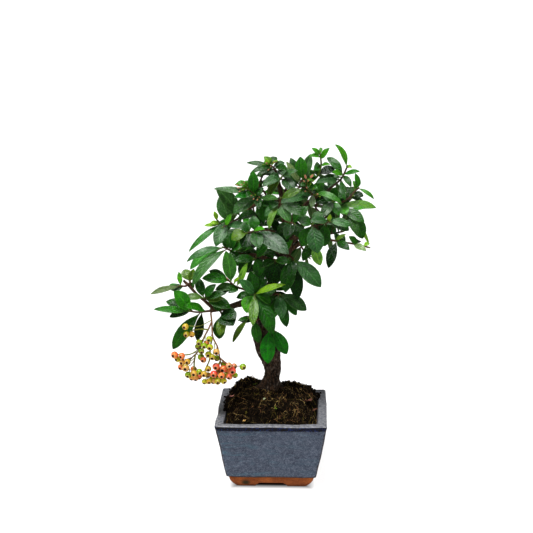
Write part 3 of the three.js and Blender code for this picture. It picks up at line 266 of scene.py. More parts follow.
SPRAYS = [
    Spray("top_right", "right_high", ((61, 311, 8), (69, 318, 10), (72, 323, 10), (75.5, 331, 9)), [
        (0.97, 64, 354, 4, 10, "bright", 3, 35), (1, 80, 331, 6, 4, "lime", 1),
        (0.72, 60.5, 325.5, 2, 7, "bright", 1), (0.75, 88, 327, 4, 5, "mid", 2, 10),
        (0.7, 80, 311, -2, 6.5, "dark", 3), (0.55, 74, 297, -8, 6.5, "dark", 2, 30),
        (0.5, 44, 315, -6, 6, "grey"), (0.62, 50, 320, 9, 7, "grey", 1.5),
        (0.72, 55, 341, 20, 9, "dark", 3),
    ]),
    Spray("top_upright", "crown_right", ((45, 321, 6), (49, 332, 3), (48, 344, 0)), [
        (0.97, 40, 350, -4, 5.5, "bright", 1), (0.85, 56.5, 350, -6, 6.5, "bright", 1.5),
        (0.9, 37, 342, -6, 5, "bright", 2.5), (0.68, 57.5, 334, -6, 4.5, "bright", 1),
        (0.6, 42, 328, -4, 6.5, "mid", 1), (0.4, 63, 330, 16, 10, "deep"),
        (0.3, 38, 322, -6, 11, "mid"),
    ], small=[(1, 49, 351, 1, 3.5, "bright", 1), (0.35, 45, 336, 4, 7, "dark", 1)]),
    Spray("top_olive", "crown_right", ((26, 308, -1), (30, 318, -5)), [
        (1, 28, 341, -9, 12.5, "mid"), (0.9, 38.5, 344, 8, 10, "grey", 2, 20), (0.85, 18, 340, -6, 10),
        (0.75, 14, 336, -2, 7, "pale", 3, -25), (0.7, 5, 331, 6, 12), (0.8, 43, 309, -10, 9),
    ], small=[(0.6, 11, 317, -8, 9), (0.5, 38, 320, -14, 8, "mid", 1), (0.9, 44, 321, 2, 8)]),
    Spray("bud_twig", "right_high", ((39, 304, -7), (34.5, 310, -12), (34.5, 317, -14)), [
        (0.12, 71, 293, -16, 7, "clear", 8), (0.2, 40, 289, -16, 6.5, "pale", 1),
        (0.12, 8, 293.5, -28, 12, "grey"), (0.8, 27.5, 312, -18, 4.5, "dark", 1),
    ], small=[
        (0.9, 40, 318, -20, 4, "bright", 1), (0.6, 46, 309, -20, 6, "mid", 1),
        (0.5, 27, 304, -18, 6, "dark", 1),
    ], buds=[
        (1, 32.5, 323, -21, 7.5), (0.9, 41.5, 323.5, -20, 7), (0.8, 31, 317, -22, 4.5),
        (0.55, 39, 314, -23, 4, "lime"), (0.4, 34, 310, -23, 4), (0.15, 46.5, 303, -22, 4.5),
        (0.3, 42, 309, -22, 3.5, "lime"), (0.7, 36.5, 318, -23, 4.5), (0.35, 32.5, 306, -22, 4),
        (0.75, 42.5, 317, -22, 4, "lime"), (0.1, 49, 300, -21, 3.5, "lime"),
    ]),
    Spray("right_edge", "right", ((79, 300, 16.5), (82, 304, 22), (87, 309, 26)), [
        (1, 84, 324.5, 22, 6, "mid", 3), (1, 103.5, 298.5, 22, 4.5, "bright", 4),
        (0.6, 92.5, 301.5, 18, 7.5, "deep", 1), (0.9, 82, 317, 18, 4.5, "bright", 1),
        (0.4, 78, 311, 36, 8), (0.5, 69, 289, 26, 11), (0.3, 66, 300, 30, 10),
    ]),
    Spray("right_tip", "right", ((68, 289, 7), (75, 287, 5), (82, 284, 3)), [
        (0.2, 106, 289.5, 20, 10, "fresh", 3), (0.25, 76, 282.5, -6, 13.5, "bright"),
        (0.7, 87, 261, -6, 10.5, "grey"), (0.5, 94, 274, 2, 12),
        (0.95, 93, 256.5, 6, 14, "dark", 2, 10), (1, 99.5, 251.5, 12, 4.5, "light", 1),
        (0.8, 95.5, 289, 10, 4, "bright", 1),
    ]),
    Spray("right_middle", "right", ((61, 294, 1), (62, 296, -7)), [
        (1, 49, 278.5, -20, 10, "grey"), (0.8, 68, 281, -14, 10, "mid"), (0.7, 52, 301, -18, 9),
        (0.5, 73, 305, -4, 8), (0.4, 65, 310, -10, 11),
    ]),
    Spray("right_front", "front_right", ((55, 273.5, -34), (58, 274.5, -36)), [
        (0.9, 39, 275.5, -44, 9, "grey"), (1, 80, 270.5, -38, 9.5, "grey"), (0.7, 79, 266, -28, 13),
        (0.5, 53, 248, -28, 13),
    ], small=[(1, 59, 282, -38, 3.5, "lime", 1)], buds=[(0.8, 56, 279, -38, 3, "lime")]),
    Spray("right_round", "front_right", ((40.5, 270.5, -33), (41, 271, -38)), [
        (1, 46.5, 241, -46, 17, "grey"), (0.7, 30, 248, -30, 13), (0.9, 26, 276, -38, 12),
        (0.6, 50, 285, -36, 10),
    ]),
    Spray("right_low_leaves", "right_low", ((44, 252, -8), (42, 249.5, -12)), [
        (1, 49.5, 228, -18, 11, "fresh"), (0.7, 31, 233, -14, 10),
    ]),
    Spray("right_low_twig", "right_low", ((75, 252.5, -2), (87, 250.5, 0), (99, 247.5, 2)), [
        (0.12, 58, 225.5, -12, 10.5, "deep"), (0.12, 79, 245.5, -16, 9.5, "dark", 1.5),
        (0.35, 68, 259.5, -6, 7.5, "dark", 1), (0.7, 79, 259, -4, 7, "dark", 1),
        (0.55, 96.5, 244.5, -10, 7, "pale", 1), (0.85, 100, 252.5, 4, 4.5, "lime", 0.5),
    ], small=[(0.08, 75, 261.5, -4, 4, "light", 1), (0.6, 90, 255, 2, 6, "dark", 1)]),
    Spray("right_long_leaves", "trunk", ((20, 236, -8), (22, 234, -12)), [
        (1, 50.5, 205, -22, 17.5, "grey", 3), (0.8, 26, 190.5, -14, 14, "deep"),
        (0.6, 13, 199, -18, 15), (0.7, 18, 212, -22, 10),
    ]),
    Spray("front_left_leaves", "front_left", ((-20.5, 263.6, -33.4), (-26, 262, -36)), [
        (0.2, 16.5, 240.5, -48, 17.5, "slate"), (0.5, -9, 266.5, -46, 5.5, "bright", 1),
        (0.4, -31, 245, -42, 13.5, "deep"), (1, -43, 255, -38, 12, "olive", 3), (0.9, -34, 272, -34, 9),
        (0.3, -14, 246, -30, 13),
    ], small=[(0.2, -20, 280, -28, 11), (0.8, -28, 278, -26, 8, "mid")]),
    Spray("front_middle_leaves", "front_middle", ((7, 292, -35), (8, 298, -39)), [
        (0.4, -4, 266.5, -44, 7.5, "fresh", 3, 20), (0.3, -9, 280, -40, 9, "grey", 1.5),
        (0.5, 18, 274, -44, 11, "grey"), (1, 29, 307.5, -44, 9, "olive"), (0.6, 32, 281, -40, 12),
        (0.7, -4, 288, -36, 9), (0.2, -13, 294, -34, 11),
    ]),
    Spray("front_heart", "front_middle", ((16, 274, -18), (22, 272, -22)), [
        (1, 30, 258, -32, 13), (0.7, 14, 256, -34, 12), (0.8, 36, 290, -24, 12), (0.6, 5, 262, -30, 10),
    ]),
    Spray("crown_left_leaves", "crown_left", ((-17, 300, -17), (-21, 303, -18), (-25, 311, -18)), [
        (0.1, 5, 298, -28, 8, "grey", 1), (0.55, -20, 326, -22, 11, "mid", 1.5),
        (0.95, -38.5, 312.5, -22, 7.5, "bright", 4), (0.6, -39, 299.5, -30, 7.5, "glossy", 1),
        (0.7, -60, 308.5, -26, 8, "grey", 1, 10), (0.15, -41, 283, -20, 14, "grey"),
        (0.1, -9, 273, -26, 12), (0.4, -10, 309, -24, 9), (0.2, -14, 288, -30, 8),
    ], small=[
        (1, -27.5, 317, -20, 3.5, "bright", 1), (0.85, -34, 308, -22, 4, "lime", 1),
        (0.3, -18, 295, -24, 4, "bright", 1), (0.5, -27, 300, -22, 9),
    ], buds=[
        (0.9, -36.5, 309, -31, 4), (0.95, -33, 312.5, -31, 4), (1, -30, 315, -29, 3.5),
        (0.8, -31, 307, -32, 3.5, "lime"), (0.9, -38, 312, -29, 3.5), (0.3, -20, 297, -33, 4),
        (0.2, -16, 296, -34, 4.5), (0.4, -22.5, 301, -33, 3.5), (0.15, -13.5, 299, -32, 3.5),
        (0.35, -18, 302, -33, 3.5, "lime"), (0.85, -35, 305, -31, 3), (0.3, -19, 293, -33, 3, "lime"),
    ]),
    Spray("top_left", "trunk", ((1, 330, 1), (-4, 333, -2)), [
        (0.9, -8.5, 341, -4, 8, "light", 1.5), (0.95, 4, 341, -2, 8, "dark", 1),
        (1, -9, 336.5, -8, 4.5, "bright", 1), (0.7, -26.5, 335, -6, 5.5, "dark", 1.5),
        (0.5, -23.5, 323.5, -12, 6, "dark", 5), (0.6, 12, 335.5, 4, 7, "grey", 1),
    ], small=[
        (0.8, 4.5, 337.5, -4, 3.5, "light", 1), (0.3, -17, 321, -2, 6, "dark", 1),
        (0.25, -13, 327, -4, 8, "mid"), (0.4, 14, 328, -4, 8),
    ], buds=[
        (1, 5, 336.5, -6, 4), (0.6, -13, 331, -6, 3), (0.9, -7, 335, -12, 4), (0.8, -2, 331, -13, 3.5),
        (0.95, 2, 336, -11, 3.5), (0.7, -5, 327, -12, 3.5), (0.9, -11, 333, -12, 3, "lime"),
    ]),
    Spray("top_middle", "trunk", ((8, 318, -6), (9.5, 321, -13)), [
        (1, -5.5, 299.5, -28, 8.5, "olive", 2, 10), (0.8, -10, 311.5, -20, 10, "grey"),
        (0.95, 25, 327.5, -12, 6.5, "grey", 1.5), (0.6, 22, 306, -20, 12), (0.5, -4, 322, -6, 8),
    ]),
    Spray("left_big", "left_high", ((-37, 276, -5), (-44, 272, -8), (-51, 268, -10)), [
        (0.05, -57.5, 309, -20, 16.5, "grey"), (0.7, -54, 301, -8, 15.5, "grey"),
        (0.6, -38, 291, -14, 7.5, "olive", 1), (0.9, -43, 281.5, -16, 6, "bright", 1),
        (0.85, -26, 269.5, -20, 8.5, "grey"), (0.3, -16, 282, -14, 10),
    ]),
    Spray("left_tip", "left_high", ((-27, 290, 5), (-38, 283, 6), (-51, 271, 3), (-57, 275, -2)), [
        (1, -60, 284, -4, 4.5, "lime", 0.5), (0.85, -70.5, 269.5, -4, 4.5, "lime", 0.5),
        (0.9, -64.5, 272, 0, 4.5, "lime", 0.5), (0.75, -87.5, 242, -10, 7.5, "mid", 3, 10),
        (0.7, -59, 248, -10, 13.5, "grey"),
    ], small=[(0.5, -50, 262, 0, 10), (0.6, -58, 264, -2, 7, "mid")]),
    Spray("left_long_leaves", "left_middle", ((-46, 244.5, -14), (-51, 246.5, -16)), [
        (0.9, -89.5, 231.5, -24, 9, "grey", 6, 10), (0.6, -84.5, 205, -28, 11, "grey", 10),
        (1, -86.5, 223, -8, 11, "clear", 5), (0.4, -34, 227, -14, 13), (0.3, -30, 249, -22, 9),
    ], small=[(0.2, -28, 254, -18, 12, "olive"), (0.7, -46, 256, -20, 9)]),
    Spray("left_dark_leaves", "left_middle", ((-17, 236, -13), (-19, 235, -17)), [
        (1, -36, 219, -18, 13), (0.8, -13, 217, -16, 12), (0.6, -4, 250, -24, 12),
        (0.9, -40, 233, -20, 10),
    ]),
    Spray("round_leaf_twig", "left_middle", ((2, 234, -7), (3, 233, -11)), [
        (1, -1, 207, -18, 18.5, "deep"), (0.6, 18, 231, -16, 9), (0.8, -12, 226, -20, 8),
        (0.9, -20, 206, -12, 15),
    ]),
    Spray("left_low_twig", "left_low", ((-40, 205.5, -18), (-47, 212.5, -21)), [
        (0.75, -48.5, 242, -32, 14, "clear"), (0.85, -73.5, 213.5, -28, 12, "mid"),
        (0.2, -60, 201.5, -24, 9, "grey"), (0.3, -27, 229.5, -28, 7, "light", 1),
        (0.6, -35, 214, -30, 4.5, "lime", 0.5), (0.9, -66, 222, -18, 9), (0.5, -58, 197, -16, 9),
    ], small=[(0.15, -46, 198, -28, 9)], buds=[
        (1, -48.5, 214.5, -22, 4.5), (0.8, -43, 211, -22, 3, "lime"),
    ]),
    Spray("low_middle_leaves", "left_low", ((-19, 196.5, -18), (-18.5, 196, -23)), [
        (0.8, -35, 212, -28, 11, "grey", 3), (1, 13, 207.5, -30, 7, "lime", 6),
        (0.9, -28, 176.5, -28, 16.5, "bright"), (1, -21, 162.5, -38, 10, "olive"),
        (0.4, -6, 213, -22, 13), (0.6, -23, 221, -20, 13), (0.7, 0.5, 153, -30, 15.5, "dark", 3),
        (0.5, -38, 193, -20, 9),
    ]),
    Spray("trunk_left_twig", "trunk", ((-18, 168, -10), (-25, 171, -13)), [
        (1, -42.5, 143.5, -14, 6, "olive", 3), (0.6, -14.5, 143.5, -16, 10.5, "dark", 1.5),
    ], small=[(0.9, -36.5, 168, -16, 4, "mid", 1), (0.5, -35, 168, -8, 8, "deep")]),
    Spray("low_right_leaves", "trunk", ((3, 197, -8), (7, 197, -12)), [
        (0.8, 10, 170, -24, 12.5, "grey"), (0.4, 2.5, 171.5, -18, 10, "mid"),
        (1, 36, 180, -18, 14.5, "grey"), (0.9, 15, 161, -12, 11), (1, 25.5, 174, -8, 11, "dark", 1.5),
        (0.6, -8, 181, -12, 8),
    ]),
    Spray("trunk_front_leaves", "trunk", ((-5, 158, -9), (0, 159.5, -13)), [
        (0.7, -5, 120.5, -18, 15.5, "glossy"), (1, 15.5, 131, -14, 13.5, "glossy"),
    ], small=[(0.85, 4.5, 139, -9, 9, "dark", 1)]),
    Spray("shoot_end", "shoot", ((-91, 204.5, -25), (-96, 205, -27)), [
        (1, -128, 196, -48, 6.5, "pale", 0.5), (0.7, -106.5, 200.5, -34, 8, "dark", 1),
        (1, -98, 220, -24, 5, "bright", 1), (0.8, -110, 204.5, -30, 4.5, "mid", 1),
    ]),
    Spray("shoot_side", "shoot", ((-86, 209, -15), (-87, 210, -11)), [
        (1, -92, 223, -8, 10.5, "olive", 1.5), (0.8, -82, 223, -12, 7, "olive", 1, 10),
        (0.7, -83.5, 202, -10, 5, "olive", 1),
    ]),
    Spray("shoot_foot", "shoot", ((-70, 191, -25), (-72, 192, -28)), [
        (1, -78.5, 214.5, -26, 9.5, "dark", 1.5), (0.6, -49.5, 197.5, -28, 8.5),
        (0.9, -60, 207, -24, 9), (0.3, -44, 182, -28, 13),
    ], small=[
        (0.8, -61.5, 196, -26, 10, "deep"), (1, -93, 192, -28, 8, "olive"),
        (0.2, -52, 192, -24, 9, "olive"),
    ]),
    Spray("cascade_left", "cascade", ((-74, 177, -23), (-80, 176.5, -29), (-87, 177.5, -33)), [
        (1, -103, 199.5, -42, 15, "mid"), (1, -124.5, 179.5, -48, 8, "mid"),
        (0.95, -108.5, 171, -46, 9, "deep", 1.5), (0.4, -106, 135.5, -42, 14.5, "dark", 12),
        (0.8, -112, 188, -38, 12), (0.15, -92.5, 183, -36, 10, "mid"),
        (0.35, -80, 145.5, -14, 10, "deep"),
    ]),
    Spray("cascade_foot", "cascade", ((-54, 176, -20), (-53, 173, -25)), [
        (1, -56, 151, -36, 10, "olive"), (0.8, -57, 147, -22, 13, "dark", 1.5),
        (0.7, -41.5, 163, -32, 21, "deep"),
    ], small=[(0.3, -39, 170, -36, 15, "deep"), (0.2, -62, 190, -34, 9)]),
    Spray("back_middle_low", "back_middle", ((32, 290, 38), (44, 292, 46), (54, 290, 51)), ruled=4),
    Spray("back_middle_high", "back_middle", ((18, 290, 32), (12, 300, 40), (6, 306, 45)), ruled=5),
    Spray("back_left_end", "back_left", ((-18, 280, 43), (-20, 290, 46), (-18, 302, 45)), ruled=5),
    Spray("back_left_side", "back_left", ((-14, 256, 24), (-26, 262, 24), (-36, 272, 21)), ruled=5),
    Spray("back_left_low", "back_left", ((2, 240, 21), (-4, 232, 27), (-14, 226, 29)), ruled=5),
    Spray("back_right_end", "back_right", ((62, 284, 43), (72, 290, 45), (80, 298, 43)), ruled=5),
    Spray("back_right_side", "back_right", ((50, 262, 27), (62, 262, 27), (72, 264, 24)), ruled=5),
    Spray("back_right_low", "back_right", ((28, 252, 22), (32, 244, 26), (38, 236, 26)), ruled=5),
    Spray("back_top_end", "back_top", ((18, 321, 29), (26, 328, 30), (36, 330, 29)), ruled=5),
    Spray("back_top_side", "back_top", ((22, 306, 19), (36, 308, 22), (48, 306, 24)), ruled=4),
    Spray("inner_right", "right", ((44, 290, 11), (50, 300, 16), (60, 308, 19)), ruled=4),
    Spray("inner_left", "left_high", ((-8, 304, 10), (-14, 312, 11), (-10, 322, 10)), ruled=4),
]

# Outline of the crown in front elevation, which the leaves placed by the rule stay inside.
CROWN = [
    (-46, 300), (-30, 312), (-14, 322), (4, 332), (34, 339), (52, 336), (66, 326), (84, 318), (92, 300),
    (90, 276), (76, 264), (56, 240), (40, 220), (22, 196), (4, 196), (-14, 214), (-28, 226), (-42, 246),
    (-30, 262), (-40, 284),
]


def inside_outline(x, z, outline):
    inside = False
    for (xi, zi), (xj, zj) in zip(outline, outline[-1:] + outline[:-1]):
        if (zi > z) != (zj > z) and x < (xj - xi) * (z - zi) / (zj - zi) + xi:
            inside = not inside
    return inside


def make_stem(spray, limbs):
    """The stem of a spray, from the bark of its branch, or on from the branch's end. Its root is
    the place inside the branch that it springs from."""
    branch = limbs[spray.branch]
    path = [front(p) for p in spray.path]
    t = min((i / 60 for i in range(61)), key=lambda u: np.linalg.norm(branch.point_at(u) - path[0]))
    root = branch.point_at(t)
    if t > 0.98:
        start = root + branch.direction_at(1) * END_GAP
    else:
        start = root + unit(path[0] - root) * (branch.radius_at(t) + SEAT_GAP)
    stem = Limb([start, *path], TWIG_RADII, TWIG_STEP)
    stem.root = root
    return stem


# The leaves are placed as in the part's source, so that each fine leaf lies on its solid. This is
# half the width of a solid blade along its length, as a share of its greatest half width.
SOLID_OUTLINE = ((0, 0.2, 0.46, 0.76, 1), (0.1, 0.36, 0.92, 1, 0))


class Leaf:
    def __init__(self, base, tip, width, bow, roll, facing):
        self.base = base
        self.length = float(np.linalg.norm(tip - base))
        self.axis = (tip - base) / self.length
        normal = unit(facing - self.axis * np.dot(facing, self.axis))
        self.normal = turned(normal, self.axis, roll)
        self.side = np.cross(self.normal, self.axis)
        self.half = width / 2
        self.bow = bow

    def points(self, s, across):
        """Points of the solid blade, for arrays of places along it and across it."""
        half = self.half * np.interp(s, *SOLID_OUTLINE)
        lift = self.bow * 4 * s * (1 - s) + LEAF_FOLD * half * np.abs(across)
        return (
            self.base
            + np.outer(self.length * s, self.axis)
            + np.outer(half * across, self.side)
            + np.outer(lift, self.normal)
        )

    def near(self, points, clearance):
        """Which points lie closer to the blade than a clearance."""
        away = points - self.base
        s = away @ self.axis / self.length
        across = np.abs(away @ self.side)
        within = np.clip(s, 0, 1)
        beside = across <= self.half * np.interp(within, *SOLID_OUTLINE) + clearance
        surface = self.bow * 4 * within * (1 - within) + LEAF_FOLD * np.minimum(across, self.half)
        close = np.abs(away @ self.normal - surface) < clearance
        return (s >= 0.02) & (s <= 1 + clearance / self.length) & beside & close


SAMPLE_ROWS = [(s, a) for s in (0.2, 0.32, 0.44, 0.56, 0.68, 0.8, 0.9) for a in (-1, -0.5, 0, 0.5, 1)]
SAMPLE_S, SAMPLE_ACROSS = np.array(SAMPLE_ROWS + [(1.0, 0.0)]).T


class Placed:
    """A leaf in its place, on its spray."""

    def __init__(self, spray, leaf, tone, is_inner=False):
        self.spray = spray
        self.leaf = leaf
        self.tone = tone
        self.is_inner = is_inner
        self.samples = leaf.points(SAMPLE_S, SAMPLE_ACROSS)
        self.reach = leaf.length / 2
        self.centre = leaf.base + leaf.axis * self.reach


# A clash with a leaf of the same twig counts once, and with anything else this many times.
FULL_CLASH = 10


def clash_count(trial, placed, wood):
    clashes = 0
    for other in placed:
        apart = np.linalg.norm(trial.centre - other.centre)
        if apart > trial.reach + other.reach + 6:
            continue
        same = other.spray is trial.spray
        clearance = SAME_TWIG_CLEARANCE if same else LEAF_CLEARANCE
        counted = SAMPLE_S > (0.25 if same else 0)
        if (other.leaf.near(trial.samples[counted], clearance).any()
                or trial.leaf.near(other.samples[counted], clearance).any()):
            clashes += 1 if same else FULL_CLASH
    owners, points, radii = wood
    apart = np.linalg.norm(points - trial.centre, axis=1)
    counted = (owners != trial.spray.name) & (apart < trial.reach + radii + 4)
    return clashes + FULL_CLASH * int(trial.leaf.near(points[counted], radii[counted] + 1).sum())


def limb_points(owner, limb):
    steps = math.ceil(limb.length / 2.5)
    return [(owner, limb.point_at(i / steps), limb.radius_at(i / steps)) for i in range(steps + 1)]


# The drawn leaves face forwards and up. Where one would touch another, its tip swings in depth.
DEPTH_SWINGS = (0, 5, -5, 10, -10, 15, -15, 20, -20)
FORWARD_AND_UP = np.array([0, -0.75, 0.65])


def drawn_leaf_choices(stem, t, x, z, y, width, tone="dark", bow=2, roll=0):
    base = stem.point_at(t)
    for swing in DEPTH_SWINGS:
        tip = front((x, z, y + swing))
        yield Leaf(base, tip, DRAWN_WIDENING * width, bow, roll, FORWARD_AND_UP), tone


# The leaves placed by rule stand round the stem at the golden angle and face up and outwards.
GOLDEN_ANGLE = 137.5
RULED_TURNS = (0, 50, -50, 100, -100, 150)
CROWN_MIDDLE = np.array([16.0, 6.0, 270.0])
RULED_TONES = ("dark", "dark", "mid", "deep", "dark", "grey", "mid", "olive", "dark", "bright")


def ruled_leaf_choices(stem, number, total, draw):
    t = mix(0.25, 1, (number + 0.5) / total)
    base, along = stem.point_at(t), stem.direction_at(t)
    length = mix(24, 36, next(draw))
    width = mix(9, 13, next(draw))
    lean = math.radians(mix(45, 80, next(draw)))
    across = unit(np.cross(along, UP))
    facing = unit(base - CROWN_MIDDLE) * 0.7 + UP
    for turn in RULED_TURNS:
        radial = turned(across, along, number * GOLDEN_ANGLE + turn)
        direction = along * math.cos(lean) + radial * math.sin(lean)
        direction[2] -= 0.15
        tip = base + unit(direction) * length
        if inside_outline(*seen_at(tip), CROWN):
            yield Leaf(base, tip, width, 2, 0, facing)


# The crown is dense. Dark inner leaves, left out of the solids, cover the cells of this outline in
# front elevation that nothing else covers. Their tones are mostly the darker ones, as painted shade
# deep in the crown.
DENSE_CROWN = [
    (-11, 328), (2, 333), (17, 334), (34, 334), (44, 329), (56, 334), (66, 326), (73, 315), (81, 305),
    (86, 293), (88, 272), (79, 276), (71, 270), (63, 259), (51, 257), (41, 246), (32, 238), (25, 223),
    (27, 206), (27, 190), (16, 184), (-1, 179), (-11, 184), (-20, 195), (-24, 207), (-26, 220),
    (-20, 229), (-28, 238), (-42, 246), (-50, 254), (-48, 264), (-38, 267), (-26, 262), (-15, 267),
    (-13, 280), (-15, 290), (-31, 297), (-27, 307), (-22, 317),
]
COVER_CELL = 2.5
INNER_SHADE_TONES = ("deep", "dark", "dark", "deep", "mid", "dark")
COVER_ALONG, COVER_ACROSS = np.meshgrid(np.linspace(0.12, 0.95, 18), np.linspace(-0.82, 0.82, 9))


def covered_cells(leaf):
    """The cells of the front elevation that a leaf covers."""
    x, z = seen_at(leaf.points(COVER_ALONG.ravel(), COVER_ACROSS.ravel()).T)
    return set(zip(np.rint(x / COVER_CELL).astype(int), np.rint(z / COVER_CELL).astype(int)))


def inner_leaf_choices(x, z, footings, rng):
    """Leaves that cover a place in front elevation, from the nearest twigs and limbs."""
    near = sorted((math.hypot(x - bx, z - bz), i) for i, (bx, bz, _, _) in enumerate(footings))
    near = [(gap, i) for gap, i in near if 5 < gap < 24]
    for gap, i in near[:60:5]:
        bx, bz, spray, base = footings[i]
        length = min(max(gap / 0.6, 20), 36)
        tip_x, tip_z = bx + (x - bx) * length / gap, bz + (z - bz) * length / gap
        for depth in (3, -5, 11):
            tip = front((tip_x, tip_z, base[1] + depth))
            leaf = Leaf(base, tip, rng.uniform(9, 13), 2, rng.uniform(-25, 25), FORWARD_AND_UP)
            yield Placed(spray, leaf, rng.choice(INNER_SHADE_TONES), True)


def fill_crown(stems, limbs, placed, wood):
    rng = random.Random(11)
    covered = set().union(*(covered_cells(item.leaf) for item in placed))
    footings = []
    for spray in SPRAYS:
        footings += [(*seen_at(p), spray, p) for _, p, _ in limb_points(spray.name, stems[spray.name])]
    for name, limb in limbs.items():
        bearer = Spray(name, name, ())
        footings += [(*seen_at(p), bearer, p) for _, p, r in limb_points(name, limb) if r < 3.4]
    for column in range(-22, 40):
        for row in range(68, 136):
            x, z = column * COVER_CELL, row * COVER_CELL
            if (column, row) in covered or not inside_outline(x, z, DENSE_CROWN):
                continue
            for trial in inner_leaf_choices(x, z, footings, rng):
                if clash_count(trial, placed, wood) == 0:
                    placed.append(trial)
                    covered |= covered_cells(trial.leaf)
                    break


def place_leaves(stems, limbs, bunch_points):
    placed = []
    rows = list(bunch_points)
    for name, limb in [*limbs.items(), *stems.items()]:
        rows += limb_points(name, limb)
    wood = [np.array(column) for column in zip(*rows)]

    def place(spray, choices, must_stay=True):
        best, fewest = None, None
        for leaf, tone in choices:
            trial = Placed(spray, leaf, tone)
            clashes = clash_count(trial, placed, wood)
            if best is None or clashes < fewest:
                best, fewest = trial, clashes
            if clashes == 0:
                break
        if best and (must_stay or fewest < FULL_CLASH):
            placed.append(best)

    for spray in SPRAYS:
        for row in spray.leaves:
            place(spray, drawn_leaf_choices(stems[spray.name], *row))
    draw = seeded_draws(5)
    ruled = [(spray, i) for spray in SPRAYS for i in range(spray.ruled)]
    for number, (spray, i) in enumerate(ruled):
        tone = RULED_TONES[number % len(RULED_TONES)]
        choices = list(ruled_leaf_choices(stems[spray.name], i, spray.ruled, draw))
        place(spray, [(leaf, tone) for leaf in choices], False)
    for spray in SPRAYS:
        for row in spray.small:
            place(spray, drawn_leaf_choices(stems[spray.name], *row))
    fill_crown(stems, limbs, placed, wood)
    # This leaf hangs behind the first berries of the bunch, flatter and further back than its solid.
    behind = next(item for item in placed if item.spray.name == "cascade_left" and item.leaf.bow == 12)
    tip = front((-106, 135.5, -21))
    behind.leaf = Leaf(behind.leaf.base, tip, DRAWN_WIDENING * 14.5, 6, 0, FORWARD_AND_UP)
    return placed


# Berries. Each stalk of the bunch is a path, and each berry is (x, z, y, diameter, colour).
BUNCH_STALKS = [
    ((-65, 175.4, -20.7), (-64, 165, -24), (-63.3, 150, -28), (-58.5, 139, -30), (-56.5, 129, -31),
     (-54.5, 118, -33)),
    ((-64.2, 166, -24), (-68, 157.5, -26), (-72, 150, -28), (-76, 140, -30), (-80, 132, -30),
     (-86, 126, -31), (-91, 118, -32), (-88, 112, -33)),
    ((-68, 157.5, -26), (-76, 158, -28), (-86, 156.5, -31)),
    ((-63.3, 150, -28), (-66, 138, -31), (-67, 124, -33), (-72, 112, -34), (-70, 106, -35)),
    ((-56, 126, -31), (-48, 119.5, -33), (-40, 114, -34)),
    ((-82, 130, -30), (-83.5, 118, -32), (-82, 108, -34)),
    ((-55.5, 123, -32), (-60, 110, -36), (-58, 105, -36)),
]
YELLOW_STALKS = (2, 3, 5, 6)

BERRIES = [
    (-92, 160.5, -34, 7, "half"), (-91, 152, -36, 6.6, "olive"), (-85.5, 152, -32, 6.6, "half"),
    (-77.5, 143, -36, 7, "green"), (-79, 138.5, -32, 6.6, "green"), (-72.5, 139.5, -36, 6.6, "green"),
    (-67, 147, -34, 6.6, "lime"), (-66.5, 138, -36, 7, "lime"), (-75.5, 133.5, -34, 6.4, "green"),
    (-76, 127, -36, 7, "green"), (-59.5, 133, -35, 7, "tan"), (-68, 130, -37, 7, "lime"),
    (-64, 127, -38, 6.6, "olive"), (-59, 126, -36, 6.6, "green"), (-104, 129, -34, 7.6, "orange"),
    (-96.5, 128, -36, 7, "orange"), (-101, 124.5, -38, 6.4, "lime"), (-96, 121, -38, 6.6, "half"),
    (-90.5, 121.5, -37, 6.6, "olive"), (-97.5, 115.5, -34, 6.6, "orange"),
    (-92.5, 114.5, -40, 7.6, "tan"), (-90, 107, -34, 7, "green"), (-84, 108.5, -41, 7.4, "half"),
    (-82, 103.5, -38, 6.6, "half"), (-78, 110.5, -38, 6.6, "green"), (-73, 108, -41, 7, "half"),
    (-69, 107, -38, 6.2, "tan"), (-68.5, 114, -38, 6.4, "olive"), (-72.5, 99.5, -32, 6, "lime"),
    (-68, 100, -39, 6.4, "olive"), (-64.5, 102.5, -34, 6.4, "lime"), (-60, 116.5, -41, 7.8, "red"),
    (-62.5, 108, -43, 7.8, "red"), (-57, 111.5, -36, 6.6, "deep_red"), (-52.5, 114, -41, 7.8, "red"),
    (-54.5, 106.5, -42, 7, "orange"), (-58, 102.5, -37, 6.4, "green"), (-58.5, 99.5, -42, 6.4, "olive"),
    (-52, 100.5, -38, 6.6, "lime"), (-43, 112, -41, 8.2, "red"), (-46, 105.5, -38, 6.8, "red"),
    (-41, 117, -34, 6.6, "pink"), (-37.5, 113, -37, 6.4, "olive"), (-31.5, 116.5, -36, 7, "green"),
]

# Berries of the bunch that the solids leave out
MORE_BERRIES = [
    (-70, 142, -30, 6.6, "orange"), (-73.5, 124, -32, 6.4, "deep_red"),
    (-84, 113.5, -34, 6.6, "orange"), (-78.5, 105, -33, 6.4, "red"), (-74, 103, -36, 6.2, "orange"),
    (-50, 107, -35, 6.6, "olive"), (-46.5, 118, -36, 6.4, "pink"), (-40, 107, -34, 6.2, "green"),
    (-47.5, 112, -33, 7, "orange"), (-63, 100, -30, 6.2, "tan"), (-86, 104, -31, 6.6, "half"),
    (-52, 119, -29, 6.6, "green"),
]

# The first berries of the list show in front of a leaf, nearer by this much than their solids.
BROUGHT_FORWARD = (6, 5, 6)


def gap_to_line(point, start, end):
    line = end - start
    t = min(max(np.dot(point - start, line) / np.dot(line, line), 0), 1)
    return np.linalg.norm(point - start - line * t)


class Berry:
    def __init__(self, centre, root, radius, colour, is_extra):
        self.centre = centre
        self.root = root
        self.radius = radius
        self.colour = colour
        self.is_extra = is_extra
        self.facing = unit(unit(centre - root) * 0.55 + np.array([0, -0.85, -0.05]))


